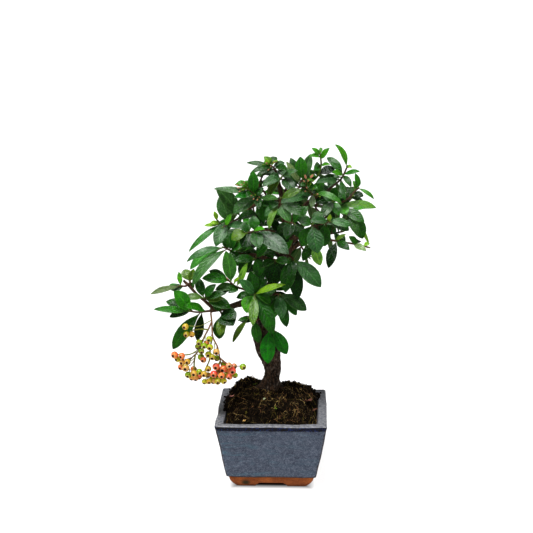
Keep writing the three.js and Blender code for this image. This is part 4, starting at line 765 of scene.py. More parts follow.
def place_berries(stalks):
    """Each berry hangs from a place near it that no other berry hangs from, clear of the rest."""
    berries = []
    roots = [stalk.point_at(i / 20) for stalk in stalks for i in range(3, 21)]

    def is_clear(centre, root, radius):
        return all(
            np.linalg.norm(centre - other.centre) > radius + other.radius + BERRY_GAP
            and gap_to_line(centre, other.root, other.centre) > radius + STALK_RADIUS
            and gap_to_line(other.centre, root, centre) > other.radius + STALK_RADIUS
            for other in berries
        ) and all(np.linalg.norm(point - centre) > radius + 1 for point in roots)

    for number, (x, z, y, diameter, colour) in enumerate(BERRIES + MORE_BERRIES):
        radius = diameter / 2
        places = []
        for swing in BERRY_SWINGS:
            centre = front((x, z, y + swing))
            roots.sort(key=lambda root: (
                np.linalg.norm(root - centre) + 4 * max(centre[2] + 3 - root[2], 0)
            ))
            places += [(centre, root) for root in roots[:6]]
        spot = next((place for place in places if is_clear(*place, radius)), None)
        if spot is None:
            continue
        centre, root = spot
        roots = [other for other in roots if other is not root]
        berries.append(Berry(centre, root, radius, colour, number >= len(BERRIES)))
    for berry, step in zip(berries, BROUGHT_FORWARD):
        berry.centre = berry.centre + unit(EYE - berry.centre) * step
    return berries


# Meshes. They are shaped in millimetres, and add_piece puts them in metres.
# The two greyed leaf tones, the mid grey-green and the dark slate green, are painted sheen: the grey
# sheen of glossy leaves put into their colour.
TONES = {
    "dark": (0.012, 0.092, 0.003), "deep": (0.004, 0.038, 0.001), "mid": (0.024, 0.180, 0.005),
    "glossy": (0.006, 0.150, 0.002), "fresh": (0.100, 0.270, 0.025), "clear": (0.058, 0.260, 0.026),
    "slate": (0.020, 0.068, 0.016), "bright": (0.065, 0.320, 0.008), "lime": (0.230, 0.460, 0.012),
    "light": (0.170, 0.390, 0.028), "grey": (0.036, 0.130, 0.026), "pale": (0.160, 0.270, 0.090),
    "olive": (0.070, 0.160, 0.010), "bud": (0.720, 0.330, 0.190), "twig": (0.090, 0.050, 0.022),
    "red_twig": (0.120, 0.045, 0.020), "green_twig": (0.120, 0.210, 0.012),
    "stalk": (0.260, 0.120, 0.045), "yellow_stalk": (0.300, 0.330, 0.040),
}

BLADE_ROWS = (0, 0.06, 0.12, 0.2, 0.3, 0.42, 0.55, 0.68, 0.79, 0.88, 0.95, 1)
BLADE_OUTLINE = (
    (0, 0.05, 0.1, 0.2, 0.32, 0.45, 0.57, 0.68, 0.78, 0.88, 0.95, 1),
    (0.03, 0.05, 0.14, 0.48, 0.8, 0.97, 1.0, 0.94, 0.79, 0.54, 0.29, 0.03),
)


def mesh_of(bm, name):
    """The mesh of a bmesh, which it frees."""
    mesh = bpy.data.meshes.new(name)
    bm.to_mesh(mesh)
    bm.free()
    return mesh


def show(name, data):
    shown = bpy.data.objects.new(name, data)
    bpy.context.scene.collection.objects.link(shown)
    return shown


def add_piece(name, bm, materials, replaced=(), sharp_angle=None):
    place = Matrix.Scale(MM, 4) @ Matrix.Translation(Vector(-MIDDLE))
    bmesh.ops.transform(bm, matrix=place, verts=bm.verts)
    mesh = mesh_of(bm, name)
    for material in materials:
        mesh.materials.append(material)
    mesh.shade_smooth()
    if sharp_angle:
        mesh.set_sharp_from_angle(angle=math.radians(sharp_angle))
    piece = show(name, mesh)
    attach(piece, "root")
    if replaced:
        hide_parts(*replaced)


def new_bmesh():
    """An empty mesh whose corners carry a tone and a UV map."""
    bm = bmesh.new()
    bm.loops.layers.float_color.new("tone")
    bm.loops.layers.uv.new("map")
    bm.verts.layers.int.new("number")
    return bm


@contextmanager
def part_of(bm):
    """A small mesh, added to a large one once it is shaped, which is much faster."""
    part = new_bmesh()
    yield part
    mesh = mesh_of(part, "part")
    bm.from_mesh(mesh)
    bpy.data.meshes.remove(mesh)


def paint(bm, faces, tone, material=0):
    layer = bm.loops.layers.float_color["tone"]
    for face in faces:
        face.material_index = material
        for loop in face.loops:
            loop[layer] = (*tone, 1)


def faces_of(verts):
    return {face for vert in verts for face in vert.link_faces}


def extruded(bm, edges):
    """A loop of edges extruded on the spot: its new corners, faces and edges."""
    grown = bmesh.ops.extrude_edge_only(bm, edges=edges)["geom"]
    verts = {item for item in grown if isinstance(item, bmesh.types.BMVert)}
    faces = [item for item in grown if isinstance(item, bmesh.types.BMFace)]
    edges = [item for item in grown if isinstance(item, bmesh.types.BMEdge)]
    return verts, faces, [edge for edge in edges if verts.issuperset(edge.verts)]


def grow(bm, sides, count, place):
    """A closed body: a ring extruded through stations. place(i, j) is where point j of ring i
    goes. Returns its faces."""
    number = bm.verts.layers.int.get("number") or bm.verts.layers.int.new("number")
    ring = bmesh.ops.create_circle(bm, cap_ends=True, segments=sides, radius=1)["verts"]
    faces = faces_of(ring)
    edges = next(iter(faces)).edges[:]
    for j, vert in enumerate(ring):
        vert[number] = j
        vert.co = Vector(place(0, j))
    for i in range(1, count):
        verts, walls, edges = extruded(bm, edges)
        faces.update(walls)
        for vert in verts:
            vert.co = Vector(place(i, vert[number]))
    faces.update(bmesh.ops.edgeloop_fill(bm, edges=edges)["faces"])
    bmesh.ops.recalc_face_normals(bm, faces=list(faces))
    return faces


def add_tube(bm, middles, radii, sides, tone, material=0):
    """A stem through the middles."""
    middles = [Vector(p) for p in middles]
    last = len(middles) - 1
    frames = []
    across = Vector((1, 0, 0))
    for i in range(last + 1):
        along = (middles[min(i + 1, last)] - middles[max(i - 1, 0)]).normalized()
        if abs(across.dot(along)) > 0.95:
            across = Vector((0, 1, 0))
        across = (across - along * across.dot(along)).normalized()
        frames.append((across, along.cross(across)))

    def place(i, j):
        angle = 2 * math.pi * j / sides
        first, second = frames[i]
        return middles[i] + first * (radii[i] * math.cos(angle)) + second * (radii[i] * math.sin(angle))

    paint(bm, grow(bm, sides, last + 1, place), tone, material)


def turned_to(point, direction):
    """The matrix that puts a shape at a point, with its top towards a direction."""
    turn = Vector(direction).to_track_quat("Z", "Y").to_matrix().to_4x4()
    return Matrix.Translation(Vector(point)) @ turn


# Leaves

def add_blade(bm, placed, rng):
    """A leaf blade: a grid bent to the leaf's form and thickened."""
    leaf = placed.leaf
    rows = len(BLADE_ROWS) - 1
    made = bmesh.ops.create_grid(bm, x_segments=rows, y_segments=BLADE_COLUMNS, size=1)["verts"]
    wave = rng.uniform(0.15, 0.45)
    waves = rng.uniform(1.2, 2.2)
    phase = rng.uniform(0, 2 * math.pi)
    sabre = rng.uniform(-0.035, 0.035) * leaf.length
    curl = rng.uniform(0.5, 2.5)
    where = {}
    for vert in made:
        s = BLADE_ROWS[round((vert.co.x + 1) / 2 * rows)]
        across = vert.co.y
        where[vert] = (s, across)
        half = leaf.half * BLADE_SLIMNESS * float(np.interp(s, *BLADE_OUTLINE))
        half = max(half, 0.35 if s < 0.5 else 0.1)
        lift = leaf.bow * 4 * s * (1 - s) + LEAF_FOLD * half * abs(across) ** 1.4
        lift += wave * across ** 2 * math.sin(waves * 2 * math.pi * s + phase + 1.2 * across)
        lift -= curl * max(s - 0.75, 0) ** 2 * 16 / 2
        bend = sabre * 4 * s * (1 - s)
        vert.co = Vector(
            leaf.base
            + leaf.axis * (leaf.length * s)
            + leaf.side * (half * across + bend)
            + leaf.normal * lift
        )
    top = faces_of(made)
    uv = bm.loops.layers.uv["map"]
    for face in top:
        for loop in face.loops:
            s, across = where[loop.vert]
            loop[uv].uv = (0.5 + across / 2, s)
    shade = rng.uniform(0.75, 1.3)
    warm = rng.uniform(-0.12, 0.12)
    r, g, b = TONES[placed.tone]
    tone = (r * shade * (1 + warm), g * shade, b * shade * (1 - warm))
    paint(bm, top, tone, 0)
    before = set(bm.faces)
    bm.normal_update()
    bmesh.ops.solidify(bm, geom=list(top), thickness=BLADE_THICKNESS)
    paint(bm, [face for face in bm.faces if face not in before], tone, 1)


def add_leaf_stalk(bm, leaf, tone):
    middles = []
    for s in (0, 0.06, 0.12, 0.2, 0.3):
        lift = leaf.bow * 4 * s * (1 - s) - 0.25
        middles.append(leaf.base + leaf.axis * (leaf.length * s) + leaf.normal * lift)
    add_tube(bm, middles, (0.55, 0.48, 0.42, 0.32, 0.15), 5, TONES[tone], 2)


def add_bud(bm, point, direction, length, width, tone):
    """A pointed bud: a ball drawn out along its direction."""
    made = bmesh.ops.create_icosphere(bm, subdivisions=1, radius=1)["verts"]
    for vert in made:
        x, y, z = vert.co
        narrow = 1 - 0.35 * max(z, 0)
        vert.co = Vector((x * narrow * width / 2, y * narrow * width / 2, z * length / 2))
    bmesh.ops.transform(bm, matrix=turned_to(point, direction), verts=made)
    paint(bm, faces_of(made), TONES[tone], 2)


def add_stalked_bud(bm, stem, t, x, z, y, length, tone="bud"):
    base, tip = stem.point_at(t), front((x, z, y))
    along = unit(tip - base)
    middle = tip - along * length / 2
    stalk = [base, (base + middle) / 2 + UP * 0.4, middle]
    add_tube(bm, stalk, (0.45, 0.4, 0.45), 5, TONES["green_twig"], 2)
    add_bud(bm, middle, along, length, length * 0.42, tone)


def make_spray_piece(spray, stem, placed, materials, number):
    rng = random.Random(100 + number)
    bm = new_bmesh()
    own = [item for item in placed if item.spray is spray and not item.is_inner]
    for item in own:
        with part_of(bm) as part:
            add_blade(part, item, rng)
    young = [item for item in own if item.tone in ("bright", "lime", "light", "mid")]
    twig = "green_twig" if 2 * len(young) > len(own) + 2 else "red_twig" if number % 3 else "twig"
    for item in own:
        stalk = "green_twig" if item in young or rng.random() < 0.5 else "red_twig"
        with part_of(bm) as part:
            add_leaf_stalk(part, item.leaf, stalk)
    middles, radii = stem.smooth(2.5)
    add_tube(bm, [stem.root, *middles], [radii[0] * 1.25, *radii], 8, TONES[twig], 2)
    along = stem.direction_at(1)
    add_bud(bm, stem.point_at(1) + along * 0.9, along, 3.2, 1.9, "green_twig")
    for row in spray.buds:
        with part_of(bm) as part:
            add_stalked_bud(part, stem, *row)
    add_piece(f"{spray.name}_leaves", bm, materials, [f"spray_{spray.name}"], 60)


def make_inner_leaves(placed, materials):
    rng = random.Random(90)
    bm = new_bmesh()
    for item in placed:
        if item.is_inner:
            with part_of(bm) as part:
                add_blade(part, item, rng)
                add_leaf_stalk(part, item.leaf, "green_twig")
    add_piece("inner_leaves", bm, materials, sharp_angle=60)


# Wood. The pruned stump swells the right side of the trunk. A surface root is (angle, reach,
# radius), and ROOT_COURSE says how high above the trunk's foot it runs at shares of its reach.
SWELLING = (((0.5, 98, 13), (2, 110, 11), (2.6, 122, 9), (3.6, 134, 7.5)), (6, 6.5, 6.2, 4.4))
ROOTS = [
    (205, 20, 4.2), (248, 17, 3.6), (292, 19, 4.4), (342, 21, 3.8), (28, 18, 3.4),
    (95, 19, 4.0), (150, 17, 3.6), (184, 23, 4.2), (225, 22, 4.0), (354, 21, 3.8),
]
ROOT_COURSE = ((0.16, 14), (0.34, 6), (0.55, 0.5), (1, -4.5), (1.3, -13))
ROOT_GIRTHS = (0.7, 1, 0.9, 0.6, 0.3)


def modified(bm, add_modifiers, others=()):
    """The mesh after the modifiers that the function puts on it."""
    objects = [show("work", mesh_of(item, "work")) for item in (bm, *others)]
    add_modifiers(*objects)
    shown = objects[0].evaluated_get(bpy.context.evaluated_depsgraph_get())
    finished = bpy.data.meshes.new_from_object(shown)
    result = bmesh.new()
    result.from_mesh(finished)
    for item in objects:
        mesh = item.data
        bpy.data.objects.remove(item)
        bpy.data.meshes.remove(mesh)
    bpy.data.meshes.remove(finished)
    return result


def fuse(work):
    remesh = work.modifiers.new("fuse", "REMESH")
    remesh.mode = "VOXEL"
    remesh.voxel_size = WOOD_VOXEL


def make_wood_piece(limbs, material):
    """Trunk and branches, fused to one skin, with swellings at the old joints and furrows."""
    bm = new_bmesh()
    rows = [row for name, limb in limbs.items() for row in limb_points(name, limb)]
    tree = kdtree.KDTree(len(rows))
    for i, (_, point, _) in enumerate(rows):
        tree.insert(Vector(point), i)
    tree.balance()
    for name, limb in limbs.items():
        add_tube(bm, *limb.smooth(3), 24 if name == "trunk" else 12, TONES["twig"])
    add_tube(bm, *drawn_limb(*SWELLING, 3).smooth(3), 16, TONES["twig"])
    foot = limbs["trunk"].point_at(0.085)
    foot[2] = SOIL_EDGE + SOIL_RISE
    for angle, reach, radius in ROOTS:
        out = np.array([math.cos(math.radians(angle)), math.sin(math.radians(angle)), 0])
        points = [foot + out * (reach * share) + UP * rise for share, rise in ROOT_COURSE]
        root = Limb(points, [radius * girth for girth in ROOT_GIRTHS], 3)
        add_tube(bm, *root.smooth(2.5), 10, TONES["twig"])
    bm = modified(bm, fuse)
    every_way = {"use_axis_x": True, "use_axis_y": True, "use_axis_z": True}
    for _ in range(3):
        bmesh.ops.smooth_vert(bm, verts=bm.verts, factor=0.5, **every_way)
    bm.normal_update()
    moves = []
    youth = bm.verts.layers.float.new("youth")
    for vert in bm.verts:
        co = vert.co
        girth = rows[tree.find(co)[1]][2]
        vert[youth] = min(max((3.8 - girth) / 2, 0), 1)
        size = min(girth / 8, 1)
        knots = noise.noise(co * 0.11) * 1.3 + noise.noise(co * 0.24) * 0.55
        furrow = noise.noise(Vector((co.x * 0.55, co.y * 0.55, co.z * 0.16)))
        rings = noise.noise(Vector((co.x * 0.12, co.y * 0.12, co.z * 0.9)))
        grain = noise.noise(co * 1.3)
        move = size * (knots + 0.7 * furrow + 0.28 * rings) + 0.16 * grain * min(size * 2, 1)
        moves.append((vert, vert.normal * move))
    for vert, move in moves:
        vert.co += move
    add_piece("bark_wood", bm, [material], ["trunk"])


# Berries. Each is coloured somewhere between the two tones of its colour.
BERRY_TONES = {
    "green": ((0.180, 0.360, 0.008), (0.280, 0.420, 0.012)),
    "lime": ((0.400, 0.520, 0.012), (0.560, 0.500, 0.020)),
    "olive": ((0.240, 0.260, 0.008), (0.520, 0.300, 0.020)),
    "half": ((0.560, 0.430, 0.040), (0.820, 0.310, 0.090)),
    "tan": ((0.640, 0.400, 0.110), (0.800, 0.360, 0.140)),
    "orange": ((0.840, 0.210, 0.060), (0.900, 0.210, 0.090)),
    "pink": ((0.780, 0.330, 0.190), (0.880, 0.290, 0.200)),
    "red": ((0.820, 0.085, 0.055), (0.920, 0.170, 0.110)),
    "deep_red": ((0.450, 0.035, 0.025), (0.600, 0.060, 0.035)),
}
CALYX_TONE = (0.012, 0.008, 0.004)
CALYX_RINGS = ((0.76, 0.26), (0.95, 0.37), (1.02, 0.20), (0.84, 0.06))


def add_berry(bm, berry, rng):
    """A pome: a slightly flattened ball with a dimple, and its crown of dried sepals."""
    radius = berry.radius
    matrix = turned_to(berry.centre, berry.facing) @ Matrix.Rotation(rng.uniform(0, 6), 4, "Z")
    made = bmesh.ops.create_uvsphere(
        bm, u_segments=BERRY_SLICES, v_segments=BERRY_STACKS, radius=1)["verts"]
    faces = faces_of(made)
    uv = bm.loops.layers.uv["map"]
    for face in faces:
        for loop in face.loops:
            loop[uv].uv = (0.5 + 0.5 * loop.vert.co.x, 0.5 + 0.5 * loop.vert.co.z)
    for vert in made:
        out = math.hypot(vert.co.x, vert.co.y)
        z = 0.92 * vert.co.z
        if vert.co.z > 0:
            z -= 0.28 * max(1 - out / 0.5, 0) ** 1.5
        else:
            z += 0.12 * max(1 - out / 0.4, 0)
        vert.co = Vector((vert.co.x, vert.co.y, z)) * radius
    bmesh.ops.transform(bm, matrix=matrix, verts=made)
    share = rng.random()
    shade = rng.uniform(0.88, 1.12)
    paint(bm, faces, [shade * mix(a, b, share) for a, b in zip(*BERRY_TONES[berry.colour])])

    def place(i, j):
        height, wide = CALYX_RINGS[i]
        reach = wide * (1 if j % 2 == 0 or i == 0 else 0.55) * radius
        angle = 2 * math.pi * j / SEPALS
        return matrix @ Vector((reach * math.cos(angle), reach * math.sin(angle), height * radius))

    paint(bm, grow(bm, SEPALS, len(CALYX_RINGS), place), CALYX_TONE, 1)


def make_bunch_piece(stalks, berries, materials):
    rng = random.Random(7)
    bm = new_bmesh()
    for number, stalk in enumerate(stalks):
        middles, radii = stalk.smooth(2.5)
        if number == 0:
            middles = [front((-63.5, 178.5, -19.3)), *middles]
            radii = [1.4, *radii]
        tone = "yellow_stalk" if number in YELLOW_STALKS else "stalk"
        add_tube(bm, middles, [0.75 * r for r in radii], 7, TONES[tone], 2)
    for berry in berries:
        with part_of(bm) as part:
            add_berry(part, berry, rng)
            facing, root = Vector(berry.facing), Vector(berry.root)
            tail = Vector(berry.centre) - facing * berry.radius * 0.75
            sag = (tail - root).length * 0.12
            middle = (root + tail) / 2 + Vector((0, 0, -sag)) - facing * 0.6
            line = Limb([root, middle, tail], (0.5, 0.42, 0.5), 2)
            tone = "yellow_stalk" if rng.random() < 0.65 else "stalk"
            add_tube(part, *line.smooth(1.5), 5, TONES[tone], 2)
    add_piece("berries_and_stalks", bm, materials, ["berry_bunch"], 70)


# Pot

def between(start, end, steps):
    """Places on a straight line, from one step past its start to its end."""
    return [tuple(mix(a, b, k / steps) for a, b in zip(start, end)) for k in range(1, steps + 1)]


def rounded_square(width, round_radius):
    """Points round a square with rounded corners."""
    reach = (width / 2 - round_radius) * math.sqrt(2)
    turn = math.radians(90)
    points = []
    for corner in range(4):
        middle = math.radians(90 * corner + 45)
        arc = []
        for k in range(CORNER_STEPS + 1):
            angle = math.radians(90 * (corner + k / CORNER_STEPS))
            arc.append((reach * math.cos(middle) + round_radius * math.cos(angle),
                        reach * math.sin(middle) + round_radius * math.sin(angle)))
        x, y = arc[0]
        next_start = (x * math.cos(turn) - y * math.sin(turn), x * math.sin(turn) + y * math.cos(turn))
        points += arc + between(arc[-1], next_start, EDGE_STEPS)[:-1]
    return points


def wobble(x, y, z, amount):
    """The unevenness of a hand-made wall."""
    here = Vector((x, y, z)) * 0.035
    return amount * noise.noise(here) + 0.35 * amount * noise.noise(here * 3.3)


def cut_away(work, *bars):
    for bar in bars:
        cut = work.modifiers.new("cut", "BOOLEAN")
        cut.operation = "DIFFERENCE"
        cut.solver = "EXACT"
        cut.object = bar


def make_drain_bar():
    """The drain hole, as a round bar from below the pot to above its floor."""
    bar = bmesh.new()

    def place(i, j):
        angle = 2 * math.pi * j / 24
        x, y = DRAIN_RADIUS * math.cos(angle), DRAIN_RADIUS * math.sin(angle)
        return Vector((x, y, (2 * i - 0.5) * FLOOR_TOP))

    grow(bar, 24, 2, place)
    return bar


def make_glazed_shell(material):
    low = (GLAZE_BOTTOM_WIDTH + 0.5, GLAZE_BOTTOM + 1.6)
    top = POT_HEIGHT - RIM_BAND
    mouth = RIM_WIDTH - 2 * WALL
    rows = [
        (GLAZE_BOTTOM_WIDTH - 3, GLAZE_BOTTOM + 0.1), (GLAZE_BOTTOM_WIDTH - 1.4, GLAZE_BOTTOM),
        (GLAZE_BOTTOM_WIDTH - 0.2, GLAZE_BOTTOM + 0.5), low,
        *between(low, (RIM_WIDTH - 2 * RIM_FLARE, top), 12),
        (RIM_WIDTH - 0.5, top + 0.7), (RIM_WIDTH, top + 1.6), (RIM_WIDTH, POT_HEIGHT - 1.0),
        (RIM_WIDTH - 0.5, POT_HEIGHT - 0.35), (RIM_WIDTH - 1.6, POT_HEIGHT),
        *between((RIM_WIDTH - 1.6, POT_HEIGHT + 0.1), (mouth + 1.6, POT_HEIGHT + 0.1), 4)[:-1],
        (mouth + 1.6, POT_HEIGHT), (mouth + 0.5, POT_HEIGHT - 0.4), (mouth, POT_HEIGHT - 1.2),
        *between((mouth, POT_HEIGHT - 1.2), (FLOOR_WIDTH, FLOOR_TOP), 4),
    ]
    rings = [rounded_square(width, max(width / 2 * CORNER_ROUND, 1.5)) for width, _ in rows]

    def place(i, j):
        width, z = rows[i]
        x, y = rings[i][j]
        out = 1 + wobble(x, y, z, 0.9) / (width / 2)
        rise = wobble(x, y, 40, 0.7) * min(z / POT_HEIGHT, 1) ** 6
        if z < GLAZE_BOTTOM + 2:
            rise = wobble(x * 2, y * 2, 90, 0.7)
        return Vector((x * out, y * out, z + rise))

    bm = new_bmesh()
    grow(bm, len(rings[0]), len(rows), place)
    bm = modified(bm, cut_away, [make_drain_bar()])
    add_piece("glazed_pot_wall", bm, [material], ["pot"], 50)


def make_arch_bar(turn):
    """The gap between two feet, as a bar that runs right under the pot."""
    half = ARCH_WIDTH / 2
    side = [(half, -ARCH_FOOT), (half, ARCH_FOOT), (half - 1.2, ARCH_FOOT + 2),
            (half - ARCH_SLOPE, ARCH_HEIGHT)]
    outline = side + [(-x, z) for x, z in reversed(side)]
    bar = bmesh.new()

    def place(i, j):
        x, z = outline[j]
        y = (i - 0.5) * RIM_WIDTH
        return Vector((x, y, z) if turn else (y, x, z))

    grow(bar, len(outline), 2, place)
    return bar


def carve_foot(work, drain, *arches):
    cut_away(work, *arches)
    soften = work.modifiers.new("soften", "BEVEL")
    soften.limit_method = "ANGLE"
    soften.angle_limit = math.radians(32)
    soften.width = FOOT_BEVEL
    soften.segments = 2
    cut_away(work, drain)


def make_terracotta_base(material):
    rows = [
        (FOOT_WIDTH - 1, 0), (FOOT_WIDTH + 1, 0.5), (mix(FOOT_WIDTH, BAND_BOTTOM_WIDTH, 0.6), 4.2),
        (BAND_BOTTOM_WIDTH, CHAMFER_TOP), (BAND_TOP_WIDTH - 1, GLAZE_BOTTOM - 2.5),
        (BAND_TOP_WIDTH, GLAZE_BOTTOM + 0.3),
    ]
    rings = [rounded_square(width, FOOT_ROUND) for width, _ in rows]
    bm = bmesh.new()
    grow(bm, len(rings[0]), len(rows), lambda i, j: Vector((*rings[i][j], rows[i][1])))
    bm = modified(bm, carve_foot, [make_drain_bar(), make_arch_bar(True), make_arch_bar(False)])
    add_piece("terracotta_foot", bm, [material], ["pot"], 40)


# Soil. Clods stand up from the surface and hollows lie in it: middle x and y, height and spread.
CLODS = [
    (-30, 30, 12, 7.4), (32, 33, 4, 10), (-37, 20, 3, 7), (-43, 8, 4, 6), (-33, 34, -3, 6),
    (-28, 30, -4, 8), (-24, 31, 3.5, 4), (-18, 36, 3, 5), (14, 38, 2, 4), (24, 36, 2, 4),
    (30, 33, -4, 6), (42, 28, 2, 6), (45, 18, 2, 5), (-41, -14, 3, 6), (36, -6, 2, 5), (22, 12, 3.5, 4),
    (-20, 4, 3, 4), (8, -20, 3, 5), (-25, -28, 3, 5), (26, -27, 2.5, 5), (-12, -8, 2, 4),
    (-30, -6, 2.5, 4), (14, -2, 2.5, 4), (-8, -34, 2, 5), (48, -33, -17, 8), (48, -12, -9, 8),
    (44, 34, -4, 7), (-48, -20, -3, 6), (-8, -14, -3, 5), (-46, -34, -2, 6), (12, -38, -2, 7),
    (32, 6, -3, 4), (-34, 10, -3, 4), (0, -26, -2.5, 4), (20, -14, -3, 4), (-22, -18, -3, 4),
]

# Soil that lies on the rim: middle x and y, spread across and along, and count of crumbs
SPILLS = [(-49.5, 16, 1.2, 8, 150), (-49, -4, 1, 6, 90), (49.5, 34, 1, 6, 15), (-30, 50, 8, 1.2, 60)]

# Scraps on the soil: middle x and y, length, width, lift of the tip, heading and tone
SCRAPS = [
    (-42, -4, 9, 4.6, 4, -40, (0.85, 0.38, 0.32)), (37, -10, 15, 9, 5, -62, (0.22, 0.100, 0.065)),
    (44, -13, 9, 3.4, 2.5, 20, (0.20, 0.090, 0.055)),
    (-8.6, -13.5, 2.8, 2.4, 1.6, 10, (0.85, 0.98, 0.62)),
    (4, -27, 6, 1.2, 1.5, 120, (0.18, 0.30, 0.02)),
    (-28, -45, 3.6, 2.6, 1.4, 40, (0.66, 0.42, 0.15)),
    (28, 24, 8, 1.1, 2, 150, (0.30, 0.20, 0.08)), (-20, 20, 7, 1.4, 2, 30, (0.18, 0.26, 0.03)),
]
FIBRE_TONES = [
    (0.24, 0.15, 0.050), (0.46, 0.31, 0.11), (0.11, 0.060, 0.024), (0.58, 0.42, 0.17),
    (0.06, 0.035, 0.018), (0.30, 0.15, 0.065), (0.22, 0.18, 0.03),
]
SOIL_SLOPE = (RIM_WIDTH / 2 - WALL - FLOOR_WIDTH / 2) / (POT_HEIGHT - FLOOR_TOP)
SOIL_HALF = FLOOR_WIDTH / 2 - SEAT_GAP + SOIL_SLOPE * (SOIL_EDGE - FLOOR_TOP)


def soil_height(x, y):
    half = RIM_WIDTH / 2 - WALL
    rise = math.sin(min((y + half) / half, 1) * math.pi / 2)
    side = 1 - SOIL_SIDE_DROP * (x / half) ** 4
    behind = max(y / half - SOIL_BACK_START, 0) * SOIL_BACK_DROP
    height = SOIL_EDGE + SOIL_RISE * rise * side - behind
    for cx, cy, lift, spread in CLODS:
        height += lift * math.exp(-((x - cx) ** 2 + (y - cy) ** 2) / (2 * spread ** 2))
    near_edge = max(abs(x), abs(y)) / SOIL_HALF
    height -= 3 * max((near_edge - 0.92) / 0.08, 0) ** 2
    here = Vector((x, y, 3))
    lumps = 2.2 * noise.noise(here * 0.13) + 4.0 * abs(noise.noise(here * 0.27)) - 1
    grains = 1.8 * noise.noise(here * 0.6) + 1.2 * noise.noise(here * 1.4)
    return height + (lumps + grains) * min(5 * (1.05 - near_edge), 1)


def make_soil_lump(material):
    bm = new_bmesh()
    cells = {"x_segments": SOIL_CELLS, "y_segments": SOIL_CELLS}
    for vert in bmesh.ops.create_grid(bm, **cells, size=SOIL_HALF)["verts"]:
        vert.co.z = soil_height(vert.co.x, vert.co.y)
    verts, _, edges = extruded(bm, [edge for edge in bm.edges if edge.is_boundary])
    for vert in verts:
        vert.co.x *= SOIL_FOOT_SHARE
        vert.co.y *= SOIL_FOOT_SHARE
        vert.co.z = FLOOR_TOP + SEAT_GAP
    bmesh.ops.edgeloop_fill(bm, edges=edges)
    bmesh.ops.recalc_face_normals(bm, faces=bm.faces)
    add_piece("peat_soil", bm, [material], ["soil"])


def soil_spot(rng, reach):
    """A place on the soil, clear of the trunk."""
    half = SOIL_HALF * reach
    while True:
        x, y = rng.uniform(-half, half), rng.uniform(-half, half)
        if math.hypot(x - TRUNK_FOOT[0], y - TRUNK_FOOT[1]) > TRUNK_CLEARANCE:
            return x, y


def add_crumb(bm, rng, size, settle, draw_shade):
    """An uneven lump of peat. settle() says where it lies, and draw_shade() how light it is."""
    with part_of(bm) as part:
        made = bmesh.ops.create_icosphere(part, subdivisions=1, radius=size)["verts"]
        for vert in made:
            vert.co *= rng.uniform(0.6, 1.2)
        bmesh.ops.transform(part, matrix=settle(), verts=made)
        paint(part, part.faces, [draw_shade()] * 3)


def make_soil_crumbs(material):
    rng = random.Random(21)
    bm = new_bmesh()

    def lie_turned():
        turn = Quaternion([rng.random() for _ in range(4)]).normalized().to_matrix().to_4x4()
        matrix = Matrix.Translation((x, y, soil_height(x, y) + 0.35 * size)) @ turn
        return matrix @ Matrix.Diagonal((1.25, 0.9, 0.7, 1))

    def lie_spilt():
        place = (rng.gauss(x, wide), rng.gauss(y, deep), POT_HEIGHT + size * rng.uniform(0.2, 1.1))
        return Matrix.Translation(place)

    for _ in range(CRUMBS):
        x, y = soil_spot(rng, 0.985)
        size = rng.uniform(0.5, 1.3) * (2.0 if rng.random() < 0.16 else 1)
        add_crumb(bm, rng, size, lie_turned,
                  lambda: rng.uniform(0.2, 1.3) * (2 if rng.random() < 0.12 else 1))
    for x, y, wide, deep, count in SPILLS:
        for _ in range(count):
            size = rng.uniform(0.6, 1.7)
            add_crumb(bm, rng, size, lie_spilt, lambda: rng.uniform(0.3, 1.3))
    add_piece("soil_crumbs", bm, [material])


def make_soil_scraps(material):
    """Flakes of bark and scraps of dead leaf, each a bent and thickened oval."""
    bm = new_bmesh()
    for x, y, length, width, lift, heading, tone in SCRAPS:
        with part_of(bm) as part:
            made = bmesh.ops.create_grid(part, x_segments=8, y_segments=4, size=1)["verts"]
            turn = math.radians(heading)
            for vert in made:
                s, t = vert.co.x, vert.co.y * math.sqrt(max(1 - 0.9 * vert.co.x ** 2, 0.02))
                run, side = s * length / 2, t * width / 2
                px = x + run * math.cos(turn) - side * math.sin(turn)
                py = y + run * math.sin(turn) + side * math.cos(turn)
                curl = lift * (s / 2 + 0.5) ** 2 + 0.25 * width * t ** 2 + 0.4 * math.sin(5 * s + 2 * t)
                vert.co = Vector((px, py, soil_height(x, y) + 1.4 + curl))
            part.normal_update()
            bmesh.ops.solidify(part, geom=part.faces[:], thickness=0.35)
            paint(part, part.faces, tone)
    add_piece("soil_scraps", bm, [material], sharp_angle=50)


def make_soil_fibres(material):
    """Peat fibres and rootlets, lying on the surface and standing out of it."""
    rng = random.Random(33)
    bm = new_bmesh()
    edge = SOIL_HALF * 0.98
    shares = [k / FIBRE_STEPS for k in range(FIBRE_STEPS + 1)]
    for _ in range(FIBRES):
        x, y = soil_spot(rng, 0.95)
        heading = rng.uniform(0, 2 * math.pi)
        length = rng.uniform(3, 15)
        curl = rng.uniform(-1.0, 1.0)
        arch = rng.uniform(0.2, 1.4)
        rise = rng.uniform(0, 3.5) if rng.random() < 0.2 else 0
        points = []
        for s in shares:
            z = soil_height(x, y) + 0.1 + arch * math.sin(math.pi * s) + rise * s
            points.append(Vector((x, y, z)))
            heading += curl / FIBRE_STEPS + rng.uniform(-0.25, 0.25)
            x += length / FIBRE_STEPS * math.cos(heading)
            y += length / FIBRE_STEPS * math.sin(heading)
            x, y = min(max(x, -edge), edge), min(max(y, -edge), edge)
        radius = rng.uniform(0.13, 0.36)
        radii = [radius * (1 - 0.5 * abs(2 * k / FIBRE_STEPS - 1)) for k in range(FIBRE_STEPS + 1)]
        shade = rng.uniform(0.15, 1.3)
        with part_of(bm) as part:
            add_tube(part, points, radii, 3, [shade * c for c in rng.choice(FIBRE_TONES)])
    add_piece("soil_fibres", bm, [material])


# Materials

